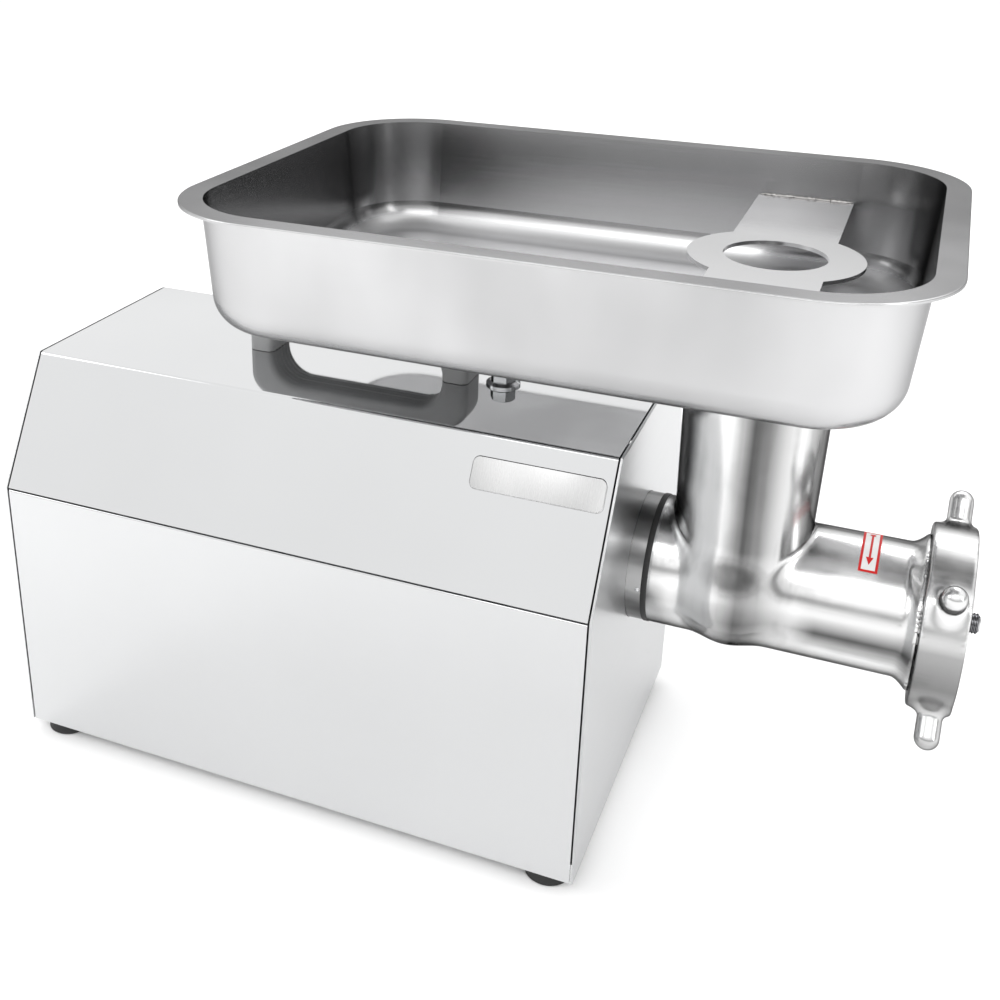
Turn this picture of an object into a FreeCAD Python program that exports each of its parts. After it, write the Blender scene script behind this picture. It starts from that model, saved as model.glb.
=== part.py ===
"""Electric meat grinder: stainless case with motor and gearbox, cast head, feed tray and ring nut.

Row frame, millimetres: +X towards the outlet, +Z up, origin under the middle of the whole
machine, with the feet standing on z = 0.  "Right" is the -Y side and "left" the +Y side, as
seen from behind the motor by someone looking towards the outlet.
"""
import FreeCAD, Part
import math
import os

V = FreeCAD.Vector
X_DIR = V(1, 0, 0)
Y_DIR = V(0, 1, 0)
Z_DIR = V(0, 0, 1)

# ---------------------------------------------------------------- driving dimensions
SHEET = 1.2              # stainless sheet of the case and the tray
FOOT_HEIGHT = 9.0
FOOT_RADIUS = 13.5
FOOT_INSET_X = 18.0      # foot centre to the case's end
FOOT_INSET_Y = 15.0      # foot centre to the case's side

CASE_REAR = -265.0       # outer face of the rear end panel
CASE_FRONT = 95.0        # outer face of the front end panel
CASE_HALF_WIDTH = 109.5
CASE_TOP_HALF_WIDTH = 67.5
BEND_Z = 175.0           # where the vertical sides meet the sloping cover
TOP_Z = 247.5
SEAM_GAP = 1.3           # shadow gap between side panel and cover
PANEL_GAP = 1.0          # shadow gap between the end panels and the rest of the case
FOLD_RADIUS = 2.6        # outer radius of the cover's folds
EDGE_RADIUS = 0.8        # rounding round the end panels

AXIS_Z = 157.0           # auger, output shaft and barrel axis
COLLAR_END = 104.5       # seam between the collar and the head
BARREL_RADIUS = 36.4
BARREL_BORE = 28.0
MOUTH_BORE = 35.15       # wide bore that holds the knife and the grinder plate
FLARE_START = 239.0
NUT_REAR = 245.3
NUT_FRONT = 267.5
BARREL_END = 258.0
THREAD_RADIUS = 41.0
NUT_RADIUS = 49.0
PEG_X = 257.8
PEG_RADIUS = 6.2
PEG_TIP_RADIUS = 69.5
PEG_ANGLES = (39.0, 129.0, 219.0, 309.0)   # from the right side, turning up and over
STUD_TIP = 275.0

NECK_X = 149.5
NECK_TOP = 298.3
NECK_RADIUS = 36.2       # where the neck meets the barrel's middle
NECK_TOP_RADIUS = 39.2
BULB_MIDDLE_Z = 158.5    # egg-shaped swelling where the neck meets the barrel
BULB_HALF = (35.5, 45.0, 39.0)
FEED_BORE = 26.0
SPIGOT_RADIUS = 31.0

TRAY_X = 48.5            # middle of the tray
TRAY_HALF_X = 188.5
TRAY_HALF_Y = 139.0
TRAY_CORNER = 58.5
TRAY_LIP = 11.3
TRAY_TOP = 366.5
TRAY_FLOOR = 298.5       # underside of the tray's floor
TRAY_DRAFT = math.tan(math.radians(4.5))
TRAY_FLOOR_RADIUS = 18.0
GUARD_Z = 340.5          # underside of the guard plate
GUARD_THICKNESS = 2.0
GUARD_HALF_X = 27.0
GUARD_DISC = 44.0

HANDLE_MID_X = -80.5
HANDLE_LENGTH = 141.0
HANDLE_HEIGHT = 30.0
HANDLE_DEPTH = 25.0
HANDLE_GRIP = 11.0       # thickness of the grip above the finger gap
HANDLE_LEG = 16.0

COVER_BOLT_X = 8.0

PRESSURE_ANGLE = math.radians(25.0)
BACKLASH = 0.12          # taken off each tooth's thickness at the pitch circle
STAGE_1 = {"module": 1.5, "pinion": 14, "gear": 42}
STAGE_2 = {"module": 1.75, "pinion": 15, "gear": 42}
MOTOR_YZ = (0.0, 84.0)
OUTPUT_YZ = (0.0, AXIS_Z)
RUNNING = 0.05           # radial clearance of a turning shaft


def countershaft_centre():
    """Place the countershaft so that both gear pairs sit at their pitch distance."""
    first = STAGE_1["module"] * (STAGE_1["pinion"] + STAGE_1["gear"]) / 2
    second = STAGE_2["module"] * (STAGE_2["pinion"] + STAGE_2["gear"]) / 2
    span = OUTPUT_YZ[1] - MOTOR_YZ[1]
    up = (first ** 2 - second ** 2 + span ** 2) / (2 * span)
    return math.sqrt(first ** 2 - up ** 2), MOTOR_YZ[1] + up


COUNTER_YZ = countershaft_centre()


# ---------------------------------------------------------------- shape helpers
def box(x0, x1, y0, y1, z0, z1):
    return Part.makeBox(x1 - x0, y1 - y0, z1 - z0, V(x0, y0, z0))


def rod_x(x0, x1, radius, centre=OUTPUT_YZ):
    return Part.makeCylinder(radius, x1 - x0, V(x0, centre[0], centre[1]), X_DIR)


def rod_z(x, y, z0, z1, radius):
    return Part.makeCylinder(radius, z1 - z0, V(x, y, z0), Z_DIR)


def rod_y(x, z, y0, y1, radius):
    return Part.makeCylinder(radius, y1 - y0, V(x, y0, z), Y_DIR)


def tube_x(x0, x1, outer, inner, centre=OUTPUT_YZ):
    return rod_x(x0, x1, outer, centre).cut(rod_x(x0 - 1, x1 + 1, inner, centre))


def square_x(x0, x1, width, centre=OUTPUT_YZ):
    half = width / 2
    return box(x0, x1, centre[0] - half, centre[0] + half, centre[1] - half, centre[1] + half)


def revolve(profile, origin, axis, across):
    """Turn (along, radius) points about an axis through origin."""
    points = [origin + axis * along + across * radius for along, radius in profile]
    face = Part.Face(Part.makePolygon(points + [points[0]]))
    return face.revolve(origin, axis, 360)


def revolve_x(profile, centre=OUTPUT_YZ):
    return revolve(profile, V(0, centre[0], centre[1]), X_DIR, Z_DIR)


def revolve_z(profile, x, y):
    return revolve(profile, V(x, y, 0), Z_DIR, X_DIR)


def prism_x(outline, x0, x1):
    """Extrude a (y, z) outline along X."""
    points = [V(x0, y, z) for y, z in outline]
    return Part.Face(Part.makePolygon(points + [points[0]])).extrude(V(x1 - x0, 0, 0))


def fuse(shapes):
    return shapes[0].multiFuse(list(shapes[1:])).removeSplitter()


def hexagon_z(x, y, z0, z1, across_flats):
    corner = across_flats / math.sqrt(3)
    points = [V(x + corner * math.cos(math.radians(60 * i)), y + corner * math.sin(math.radians(60 * i)), z0)
              for i in range(7)]
    return Part.Face(Part.makePolygon(points)).extrude(V(0, 0, z1 - z0))


def hexagon_x(y, z, x0, x1, across_flats):
    corner = across_flats / math.sqrt(3)
    points = [V(x0, y + corner * math.cos(math.radians(60 * i)), z + corner * math.sin(math.radians(60 * i)))
              for i in range(7)]
    return Part.Face(Part.makePolygon(points)).extrude(V(x1 - x0, 0, 0))


def rounded_rectangle(x, y, z, half_x, half_y, radius):
    """Closed wire of a rounded rectangle lying at height z."""
    edges = []
    corners = ((1, 1, 0), (-1, 1, 90), (-1, -1, 180), (1, -1, 270))
    arcs = []
    for side_x, side_y, start in corners:
        centre = V(x + side_x * (half_x - radius), y + side_y * (half_y - radius), z)
        circle = Part.Circle(centre, Z_DIR, radius)
        arcs.append(Part.Arc(circle, math.radians(start), math.radians(start + 90)).toShape())
    for i, arc in enumerate(arcs):
        following = arcs[(i + 1) % 4]
        edges.append(arc)
        edges.append(Part.makeLine(arc.valueAt(arc.LastParameter), following.valueAt(following.FirstParameter)))
    return Part.Wire(edges)


def egg(half_sizes, centre):
    """Ellipsoid with half sizes along X, Y and Z."""
    stretch = FreeCAD.Matrix()
    stretch.scale(V(*half_sizes))
    body = Part.makeSphere(1.0).transformGeometry(stretch)
    body.translate(centre)
    return body


def rounded_plate(x, y, z0, z1, half_x, half_y, radius):
    wire = rounded_rectangle(x, y, z0, half_x, half_y, radius)
    return Part.Face(wire).extrude(V(0, 0, z1 - z0))


def edges_where(shape, test):
    return [edge for edge in shape.Edges if test(edge)]


def case_outline(inset, bottom=FOOT_HEIGHT):
    """Six-cornered section of the case, taken in by inset from its outer faces."""
    slope_y = CASE_HALF_WIDTH - CASE_TOP_HALF_WIDTH
    slope_z = TOP_Z - BEND_Z
    length = math.hypot(slope_y, slope_z)
    half = CASE_HALF_WIDTH - inset
    # the sloping face moves in by inset along its own normal
    bend = BEND_Z - inset * (length - slope_z) / slope_y
    top = TOP_Z - inset
    top_half = half - (top - bend) * slope_y / slope_z
    return [(-half, bottom), (half, bottom), (half, bend), (top_half, top), (-top_half, top), (-half, bend)]


# ---------------------------------------------------------------- gears
def involute_point(base_radius, radius):
    """Polar angle that an involute from base_radius has gained when it reaches radius."""
    turn = math.sqrt(max((radius / base_radius) ** 2 - 1, 0.0))
    return turn - math.atan(turn)


def gear(module, teeth, x0, x1, centre, first_tooth, bore):
    """Spur gear about X; first_tooth is the angle of one tooth's middle, from +Y towards +Z."""
    pitch = module * teeth / 2
    base = pitch * math.cos(PRESSURE_ANGLE)
    tip = pitch + module
    root = pitch - 1.25 * module
    half_pitch_angle = (math.pi * module / 2 - BACKLASH) / (2 * pitch)
    at_pitch = involute_point(base, pitch)
    start = max(base, root)
    steps = 6
    flank = []
    for i in range(steps + 1):
        radius = start + (tip - start) * i / steps
        flank.append((radius, half_pitch_angle + at_pitch - involute_point(base, radius)))
    if root < base:
        flank.insert(0, (root, flank[0][1]))
    outline = []
    for tooth in range(teeth):
        middle = first_tooth + tooth * 2 * math.pi / teeth
        outline += [(radius, middle - angle) for radius, angle in flank]
        outline += [(radius, middle + angle) for radius, angle in reversed(flank)]
    points = [(centre[0] + r * math.cos(a), centre[1] + r * math.sin(a)) for r, a in outline]
    return prism_x(points, x0, x1).cut(rod_x(x0 - 1, x1 + 1, bore, centre))


def direction(start, end):
    return math.atan2(end[1] - start[1], end[0] - start[0])


# Every gear's first tooth follows from its partner: tooth to space along the line of centres.
COUNTER_TO_MOTOR = direction(COUNTER_YZ, MOTOR_YZ)
COUNTER_TO_OUTPUT = direction(COUNTER_YZ, OUTPUT_YZ)

# ---------------------------------------------------------------- gear train layout along X
COVER_REAR = -8.0
COVER_FRONT = 2.0
STAGE_1_X = (6.0, 18.0)
STAGE_2_X = (24.0, 46.0)
FRONT_WALL = (48.0, 60.0)
NOSE_END = 88.0
WALL = 6.0
CAVITIES = ((OUTPUT_YZ, 41.0), (COUNTER_YZ, 35.5), (MOTOR_YZ, 20.0))
SHAFT_RADIUS = 15.0      # output shaft
COUNTER_RADIUS = 8.5
MOTOR_SHAFT_RADIUS = 7.5


def gearbox_outline(x0, x1, grow):
    return fuse([rod_x(x0, x1, radius + grow, centre) for centre, radius in CAVITIES])


def gearbox_bolt_places():
    """Bolts spread round the gearbox rim, in the thickness of its wall."""
    places = []
    for angle in (30, 90, 150, 195):
        places.append((OUTPUT_YZ, 44.0, angle))
    for angle in (-35, 25, -80):
        places.append((COUNTER_YZ, 38.5, angle))
    for angle in (200, 270):
        places.append((MOTOR_YZ, 23.0, angle))
    return [(c[0] + r * math.cos(math.radians(a)), c[1] + r * math.sin(math.radians(a))) for c, r, a in places]


# ---------------------------------------------------------------- case
def base_plate():
    half = CASE_HALF_WIDTH - SHEET - 0.2
    rear = CASE_REAR + SHEET + 0.2
    front = CASE_FRONT - SHEET - 0.2
    lip = 12.0
    tray = box(rear, front, -half, half, FOOT_HEIGHT, FOOT_HEIGHT + lip)
    hollow = box(rear + SHEET, front - SHEET, -half + SHEET, half - SHEET, FOOT_HEIGHT + SHEET, FOOT_HEIGHT + 30)
    plate = tray.cut(hollow)
    slots = []
    for column in (-215, -150):
        for row in range(-4, 5):
            slots.append(box(column - 22, column + 22, row * 9 - 1.6, row * 9 + 1.6, FOOT_HEIGHT - 1, FOOT_HEIGHT + 5))
    holes = [rod_z(x, y, FOOT_HEIGHT - 1, FOOT_HEIGHT + 5, 2.6) for x, y in foot_places()]
    return plate.cut(Part.makeCompound(slots + holes))


def foot_places():
    places = []
    for x in (CASE_REAR + FOOT_INSET_X, CASE_FRONT - FOOT_INSET_X):
        for y in (-CASE_HALF_WIDTH + FOOT_INSET_Y, CASE_HALF_WIDTH - FOOT_INSET_Y):
            places.append((x, y))
    return places


def feet():
    solids = []
    for x, y in foot_places():
        r = FOOT_RADIUS
        profile = [(0, 0), (0, r - 1), (1, r), (FOOT_HEIGHT, r - 1.5), (FOOT_HEIGHT, 0)]
        foot = revolve_z(profile, x, y)
        recess = rod_z(x, y, -1, 4, 5.5)
        hole = rod_z(x, y, -1, FOOT_HEIGHT + 1, 2.6)
        solids.append(foot.cut(recess).cut(hole))
    return Part.makeCompound(solids)


def foot_screws():
    solids = []
    for x, y in foot_places():
        head = rod_z(x, y, 1.6, 3.9, 4.5)
        shank = rod_z(x, y, 3.9, FOOT_HEIGHT + 6, 2.4)
        solids.append(head.fuse(shank))
    return Part.makeCompound(solids)


def side_panel(side):
    """Vertical lower side with returned edges at the ends and the top."""
    outer = CASE_HALF_WIDTH
    rear = CASE_REAR + SHEET + PANEL_GAP
    front = CASE_FRONT - SHEET - PANEL_GAP
    top = BEND_Z - SEAM_GAP
    fold = 9.0
    face = box(rear, front, outer - SHEET, outer, FOOT_HEIGHT, top)
    top_fold = box(rear, front, outer - fold, outer, top - SHEET, top)
    rear_fold = box(rear, rear + SHEET, outer - fold, outer, FOOT_HEIGHT + 14, top)
    front_fold = box(front - SHEET, front, outer - fold, outer, FOOT_HEIGHT + 14, top)
    panel = fuse([face, top_fold, rear_fold, front_fold])
    corner = edges_where(panel, lambda e: e.BoundBox.XLength > 300 and e.BoundBox.ZMin > top - 0.01
                         and e.BoundBox.YMin > outer - 0.01)
    panel = panel.makeFillet(1.0, corner)
    for y, z in rear_screw_places():
        panel = panel.cut(rod_x(rear - 1, rear + 3, 2.2, (abs(y), z)))
    if side > 0:
        return panel.cut(switch_cutout())
    return panel.mirror(V(0, 0, 0), Y_DIR)


def upper_cover():
    rear = CASE_REAR + SHEET + PANEL_GAP
    front = CASE_FRONT - SHEET - PANEL_GAP
    outline = case_outline(0.0, BEND_Z)
    inner = case_outline(SHEET, BEND_Z)
    outer_block = prism_x([outline[2], outline[3], outline[4], outline[5]], rear, front)
    folds = edges_where(outer_block, lambda e: e.BoundBox.XLength > 300 and e.BoundBox.ZMin > TOP_Z - 0.01)
    outer_block = outer_block.makeFillet(FOLD_RADIUS, folds)
    hollow = prism_x([(inner[2][0], BEND_Z - 1), inner[2], inner[3], inner[4], inner[5], (inner[5][0], BEND_Z - 1)],
                     rear - 1, front + 1)
    cover = outer_block.cut(hollow)
    holes = [rod_z(COVER_BOLT_X, 0, TOP_Z - 4, TOP_Z + 1, 4.4)]
    for x in handle_screw_places():
        holes.append(rod_z(x, 0, TOP_Z - 4, TOP_Z + 1, 2.7))
    return cover.cut(Part.makeCompound(holes))


def end_plate(inner_x, outer_x):
    """End panel's blank, rounded along the rim of its outer face."""
    plate = prism_x(case_outline(0.0), min(inner_x, outer_x), max(inner_x, outer_x))
    rim = edges_where(plate, lambda e: abs(e.CenterOfMass.x - outer_x) < 0.01)
    return plate.makeFillet(EDGE_RADIUS, rim)


def end_panel_front():
    plate = end_plate(CASE_FRONT - SHEET, CASE_FRONT)
    return plate.cut(rod_x(CASE_FRONT - 5, CASE_FRONT + 5, BARREL_RADIUS + 0.3))


def end_panel_rear():
    plate = end_plate(CASE_REAR + SHEET, CASE_REAR)
    cuts = []
    for column in (-1, 1):
        for row in range(9):
            z = 118 + row * 9
            cuts.append(box(CASE_REAR - 1, CASE_REAR + 5, column * 30 - 23, column * 30 + 23, z - 1.6, z + 1.6))
    cuts.append(rod_x(CASE_REAR - 1, CASE_REAR + 5, GLAND_SHANK + 0.1, GLAND_YZ))
    for y, z in rear_screw_places():
        cuts.append(rod_x(CASE_REAR - 1, CASE_REAR + 5, 2.2, (y, z)))
    return plate.cut(Part.makeCompound(cuts))


def rear_screw_places():
    return [(side * 101, z) for side in (-1, 1) for z in (40, 100, 160)]


def rear_screws():
    solids = []
    for y, z in rear_screw_places():
        head = revolve_x([(CASE_REAR - 2.2, 0), (CASE_REAR - 2.2, 2.2), (CASE_REAR - 1, 3.9), (CASE_REAR, 4.0),
                          (CASE_REAR, 2.0), (CASE_REAR + 7, 2.0), (CASE_REAR + 7, 0)], (y, z))
        slot = box(CASE_REAR - 3, CASE_REAR - 1.3, y - 3, y + 3, z - 0.5, z + 0.5)
        cross = box(CASE_REAR - 3, CASE_REAR - 1.3, y - 0.5, y + 0.5, z - 3, z + 3)
        solids.append(head.cut(slot).cut(cross))
    return Part.makeCompound(solids)


def rear_screw_nuts():
    """Clinch nuts on the folded edges of the side panels."""
    solids = []
    for y, z in rear_screw_places():
        inner = CASE_REAR + 2 * SHEET + PANEL_GAP + 0.1
        solids.append(tube_x(inner, inner + 3, 4.0, 2.05, (y, z)))
    return Part.makeCompound(solids)


NAMEPLATE = {"x": 54.0, "z": 229.5, "length": 72.0, "width": 18.0, "thickness": 1.0, "corner": 4.0}


def nameplate():
    """Blank rating plate lying on the right-hand slope of the cover."""
    plate = rounded_plate(0, 0, 0, NAMEPLATE["thickness"], NAMEPLATE["length"] / 2, NAMEPLATE["width"] / 2,
                          NAMEPLATE["corner"])
    rim = edges_where(plate, lambda e: e.BoundBox.ZMin > NAMEPLATE["thickness"] - 0.01)
    plate = plate.makeChamfer(0.5, rim)
    run = CASE_HALF_WIDTH - CASE_TOP_HALF_WIDTH
    rise = TOP_Z - BEND_Z
    tilt = math.degrees(math.atan2(rise, run))
    plate.rotate(V(0, 0, 0), X_DIR, tilt)
    y = -CASE_TOP_HALF_WIDTH - (TOP_Z - NAMEPLATE["z"]) * run / rise
    lift = 0.02
    outward = V(0, -rise, run)
    outward.normalize()
    plate.translate(V(NAMEPLATE["x"], y, NAMEPLATE["z"]) + outward * lift)
    return plate


# ---------------------------------------------------------------- handle and cover bolt
def handle_screw_places():
    reach = HANDLE_LENGTH / 2 - HANDLE_LEG / 2
    return (HANDLE_MID_X - reach, HANDLE_MID_X + reach)


def carry_handle():
    x0 = HANDLE_MID_X - HANDLE_LENGTH / 2
    x1 = HANDLE_MID_X + HANDLE_LENGTH / 2
    half = HANDLE_DEPTH / 2
    top = TOP_Z + HANDLE_HEIGHT
    block = box(x0, x1, -half, half, TOP_Z, top)
    outer = edges_where(block, lambda e: e.BoundBox.YLength > 20 and e.BoundBox.ZMin > top - 0.01)
    block = block.makeFillet(15.0, outer)
    gap_top = top - HANDLE_GRIP
    gap = box(x0 + HANDLE_LEG, x1 - HANDLE_LEG, -half - 1, half + 1, TOP_Z - 20, gap_top)
    inner = edges_where(gap, lambda e: e.BoundBox.YLength > 20 and e.BoundBox.ZMin > gap_top - 0.01)
    gap = gap.makeFillet(16.0, inner)
    handle = block.cut(gap)
    sides = edges_where(handle, lambda e: abs(abs(e.BoundBox.Center.y) - half) < 0.01 and e.BoundBox.YLength < 0.01
                        and e.BoundBox.ZMax > TOP_Z + 0.1)
    handle = handle.makeFillet(3.0, sides)
    holes = [rod_z(x, 0, TOP_Z - 1, TOP_Z + 14, 2.1) for x in handle_screw_places()]
    return handle.cut(Part.makeCompound(holes))


def handle_screws():
    solids = []
    for x in handle_screw_places():
        head = hexagon_z(x, 0, TOP_Z - SHEET - 3.6, TOP_Z - SHEET - 0.05, 8.0)
        solids.append(head.fuse(rod_z(x, 0, TOP_Z - SHEET - 0.05, TOP_Z + 12, 2.05)))
    return Part.makeCompound(solids)


def cover_bolt():
    """Flanged hex bolt that holds the cover down on the gearbox post."""
    flange = revolve_z([(TOP_Z, 0), (TOP_Z, 9.8), (TOP_Z + 1.2, 9.8), (TOP_Z + 2.6, 7.6), (TOP_Z + 2.6, 0)],
                       COVER_BOLT_X, 0)
    head = hexagon_z(COVER_BOLT_X, 0, TOP_Z + 2, TOP_Z + 9, 13.0)
    crown = revolve_z([(TOP_Z + 2, 0), (TOP_Z + 2, 8), (TOP_Z + 7.9, 8), (TOP_Z + 9.6, 5.8), (TOP_Z + 9.6, 0)],
                      COVER_BOLT_X, 0)
    shank = rod_z(COVER_BOLT_X, 0, TOP_Z - 16, TOP_Z + 0.5, 4.0)
    return fuse([flange, head.common(crown), shank])


# ---------------------------------------------------------------- cable entry
GLAND_YZ = (62.0, 45.0)
GLAND_SHANK = 8.0
GLAND_BORE = 4.2


def cable_gland():
    outer = CASE_REAR - 10
    body = revolve_x([(outer, 0), (outer, 6.2), (outer + 2, 8.0), (outer + 4, 8.8), (outer + 5, 8.8), (outer + 5, 0)],
                     GLAND_YZ)
    flats = hexagon_x(GLAND_YZ[0], GLAND_YZ[1], outer + 5, CASE_REAR, 20.0)
    shank = rod_x(CASE_REAR, CASE_REAR + 10, GLAND_SHANK, GLAND_YZ)
    gland = fuse([body, flats, shank])
    return gland.cut(rod_x(outer - 1, CASE_REAR + 11, GLAND_BORE, GLAND_YZ))


def gland_nut():
    nut = hexagon_x(GLAND_YZ[0], GLAND_YZ[1], CASE_REAR + SHEET, CASE_REAR + SHEET + 4, 20.0)
    return nut.cut(rod_x(CASE_REAR - 1, CASE_REAR + 9, GLAND_SHANK + 0.02, GLAND_YZ))


# ---------------------------------------------------------------- switch on the left side
SWITCH_X = -205.0
SWITCH_Z = 112.0
SWITCH_HALF_X = 24.0
SWITCH_HALF_Z = 42.0
BUTTON_RADIUS = 12.0
BUTTON_RISE = 5.0
BUTTON_SPACING = 36.0
BEZEL = 2.5


def switch_cutout():
    inner = CASE_HALF_WIDTH - 20
    return box(SWITCH_X - 18, SWITCH_X + 18, inner, CASE_HALF_WIDTH + 1, SWITCH_Z - 36, SWITCH_Z + 36)


def button_z(sign):
    return SWITCH_Z + sign * BUTTON_SPACING / 2


def switch_box():
    """Switch body behind the panel with a rounded bezel in front of it."""
    front = CASE_HALF_WIDTH
    bezel = rounded_plate(SWITCH_X, 0, 0, BEZEL, SWITCH_HALF_X, SWITCH_HALF_Z, 7.0)
    rim = edges_where(bezel, lambda e: e.BoundBox.ZMin > BEZEL - 0.01)
    bezel = bezel.makeChamfer(0.8, rim)
    bezel.rotate(V(0, 0, 0), X_DIR, -90)
    bezel.translate(V(0, front + 0.02, SWITCH_Z))
    body = box(SWITCH_X - 17, SWITCH_X + 17, front - 34, front + 0.5, SWITCH_Z - 35, SWITCH_Z + 35)
    switch = bezel.fuse(body).removeSplitter()
    for sign in (-1, 1):
        z = button_z(sign)
        switch = switch.cut(rod_y(SWITCH_X, z, front - 7, front + 5, BUTTON_RADIUS + 0.3))
        switch = switch.cut(rod_y(SWITCH_X, z, front - 24, front + 5, 3.3))
    return switch


def button(sign):
    z = button_z(sign)
    back = CASE_HALF_WIDTH - 3.5
    face = CASE_HALF_WIDTH + BEZEL + BUTTON_RISE
    cap = rod_y(SWITCH_X, z, back, face, BUTTON_RADIUS)
    rim = edges_where(cap, lambda e: e.BoundBox.YMin > face - 0.01)
    cap = cap.makeFillet(1.2, rim)
    stem = rod_y(SWITCH_X, z, back - 16, back, 3.0)
    return cap.fuse(stem).removeSplitter()


# ---------------------------------------------------------------- motor
MOTOR_RADIUS = 52.0
ROTOR_RADIUS = 30.0
STATOR_X = (-130.0, -44.0)
REAR_BELL_X = (-156.0, -130.0)
FRONT_BELL_X = (-44.0, -18.0)
MOTOR_BEARING = 17.5
MOTOR_BEARING_X = ((-152.0, -141.0), (-33.0, -22.0))


def motor_stator():
    core = tube_x(STATOR_X[0] + 0.05, STATOR_X[1] - 0.05, MOTOR_RADIUS, ROTOR_RADIUS + 0.6, MOTOR_YZ)
    slots = []
    for i in range(24):
        slot = box(STATOR_X[0] - 1, STATOR_X[1] + 1, -1.6, 1.6, 33.5, 44)
        slot.rotate(V(0, 0, 0), X_DIR, 15 * i)
        slot.translate(V(0, MOTOR_YZ[0], MOTOR_YZ[1]))
        slots.append(slot)
    return core.cut(Part.makeCompound(slots))


def stator_windings():
    """The two copper end turns that stand out of the stator core."""
    rings = []
    for x0, x1 in ((STATOR_X[0] - 11, STATOR_X[0] - 0.05), (STATOR_X[1] + 0.05, STATOR_X[1] + 9)):
        ring = tube_x(x0, x1, 45.0, 33.0, MOTOR_YZ)
        rings.append(ring.makeFillet(2.5, edges_where(ring, lambda e: e.BoundBox.XLength < 0.01)))
    return Part.makeCompound(rings)


def motor_bell(ends, bearing_x, bearing_open_at, step):
    """Cast end bell: rim on the stator, web, and a bearing pocket that opens towards the rotor."""
    x0, x1 = ends
    shell = rod_x(x0, x1, MOTOR_RADIUS + 2, MOTOR_YZ)
    if step > 0:
        hollow = rod_x(x0 + 6, x1 + 1, MOTOR_RADIUS - 4, MOTOR_YZ)
    else:
        hollow = rod_x(x0 - 1, x1 - 6, MOTOR_RADIUS - 4, MOTOR_YZ)
    shell = shell.cut(hollow)
    if step > 0:
        hub_ends = (min(x0, bearing_x[0] - 2), max(bearing_x[1], bearing_open_at))
    else:
        hub_ends = (min(bearing_x[0], bearing_open_at), x1)
    bell = shell.fuse(rod_x(hub_ends[0], hub_ends[1], MOTOR_BEARING + 5, MOTOR_YZ))
    bell = bell.cut(rod_x(bearing_x[0], bearing_x[1], MOTOR_BEARING + 0.02, MOTOR_YZ))
    if step > 0:
        bell = bell.cut(rod_x(bearing_x[1] - 0.1, x1 + 1, MOTOR_BEARING + 0.02, MOTOR_YZ))
    else:
        bell = bell.cut(rod_x(x0 - 1, bearing_x[0] + 0.1, MOTOR_BEARING + 0.02, MOTOR_YZ))
    bell = bell.cut(rod_x(x0 - 1, x1 + 1, MOTOR_SHAFT_RADIUS + 1.0, MOTOR_YZ))
    vents = []
    for i in range(6):
        vent = box(x0 - 1, x1 + 1, -7, 7, 27, 40)
        vent.rotate(V(0, 0, 0), X_DIR, 60 * i + 30)
        vent.translate(V(0, MOTOR_YZ[0], MOTOR_YZ[1]))
        vents.append(vent)
    return bell.cut(Part.makeCompound(vents)).removeSplitter()


def motor_rear_bell():
    return motor_bell(REAR_BELL_X, MOTOR_BEARING_X[0], MOTOR_BEARING_X[0][1], 1)


def motor_front_bell():
    return motor_bell(FRONT_BELL_X, MOTOR_BEARING_X[1], MOTOR_BEARING_X[1][0], -1)


def bearing(x0, x1, bore, outer, centre):
    """Deep groove bearing with shields set back from its side faces."""
    third = (outer - bore) / 3
    ring = tube_x(x0, x1, outer, bore + RUNNING, centre)
    for start, end in ((x0 - 1, x0 + 0.7), (x1 - 0.7, x1 + 1)):
        ring = ring.cut(tube_x(start, end, outer - third, bore + third, centre))
    return ring


def motor_bearings():
    return Part.makeCompound([bearing(x0, x1, MOTOR_SHAFT_RADIUS, MOTOR_BEARING, MOTOR_YZ)
                              for x0, x1 in MOTOR_BEARING_X])


def motor_shaft():
    return revolve_x([(-186, 0), (-186, 5.5), (-185, 6.5), (-162, 6.5), (-162, 7.5), (STAGE_1_X[1], 7.5),
                      (STAGE_1_X[1], 6.0), (STAGE_1_X[1] + 3, 6.0), (STAGE_1_X[1] + 3, 0)], MOTOR_YZ)


def rotor_core():
    core = tube_x(STATOR_X[0] + 3, STATOR_X[1] - 3, ROTOR_RADIUS, MOTOR_SHAFT_RADIUS + 0.01, MOTOR_YZ)
    rings = [tube_x(STATOR_X[0] - 2, STATOR_X[0] + 3, ROTOR_RADIUS - 2, 20, MOTOR_YZ),
             tube_x(STATOR_X[1] - 3, STATOR_X[1] + 2, ROTOR_RADIUS - 2, 20, MOTOR_YZ)]
    return fuse([core] + rings)


def cooling_fan():
    hub = tube_x(-180, -164, 13, 6.52, MOTOR_YZ)
    disc = tube_x(-166, -164, 46, 6.52, MOTOR_YZ)
    blades = []
    for i in range(9):
        blade = box(-180, -165, -1, 1, 12, 46)
        blade.rotate(V(0, 0, 12), X_DIR, 14)
        blade.rotate(V(0, 0, 0), X_DIR, 40 * i)
        blade.translate(V(0, MOTOR_YZ[0], MOTOR_YZ[1]))
        blades.append(blade)
    return fuse([hub, disc] + blades)


def motor_cradle():
    """Two saddles that carry the motor's bells on the base plate."""
    floor = FOOT_HEIGHT + SHEET + 0.05
    solids = []
    for x0, x1 in ((REAR_BELL_X[0] + 6, REAR_BELL_X[1] - 6), (FRONT_BELL_X[0] + 6, FRONT_BELL_X[1] - 6)):
        block = box(x0, x1, -34, 34, floor, 52)
        block = block.cut(rod_x(x0 - 1, x1 + 1, MOTOR_RADIUS + 2.05, MOTOR_YZ))
        foot = box(x0, x1, -54, 54, floor, floor + 6)
        solids.append(block.fuse(foot).removeSplitter())
    return Part.makeCompound(solids)


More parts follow.
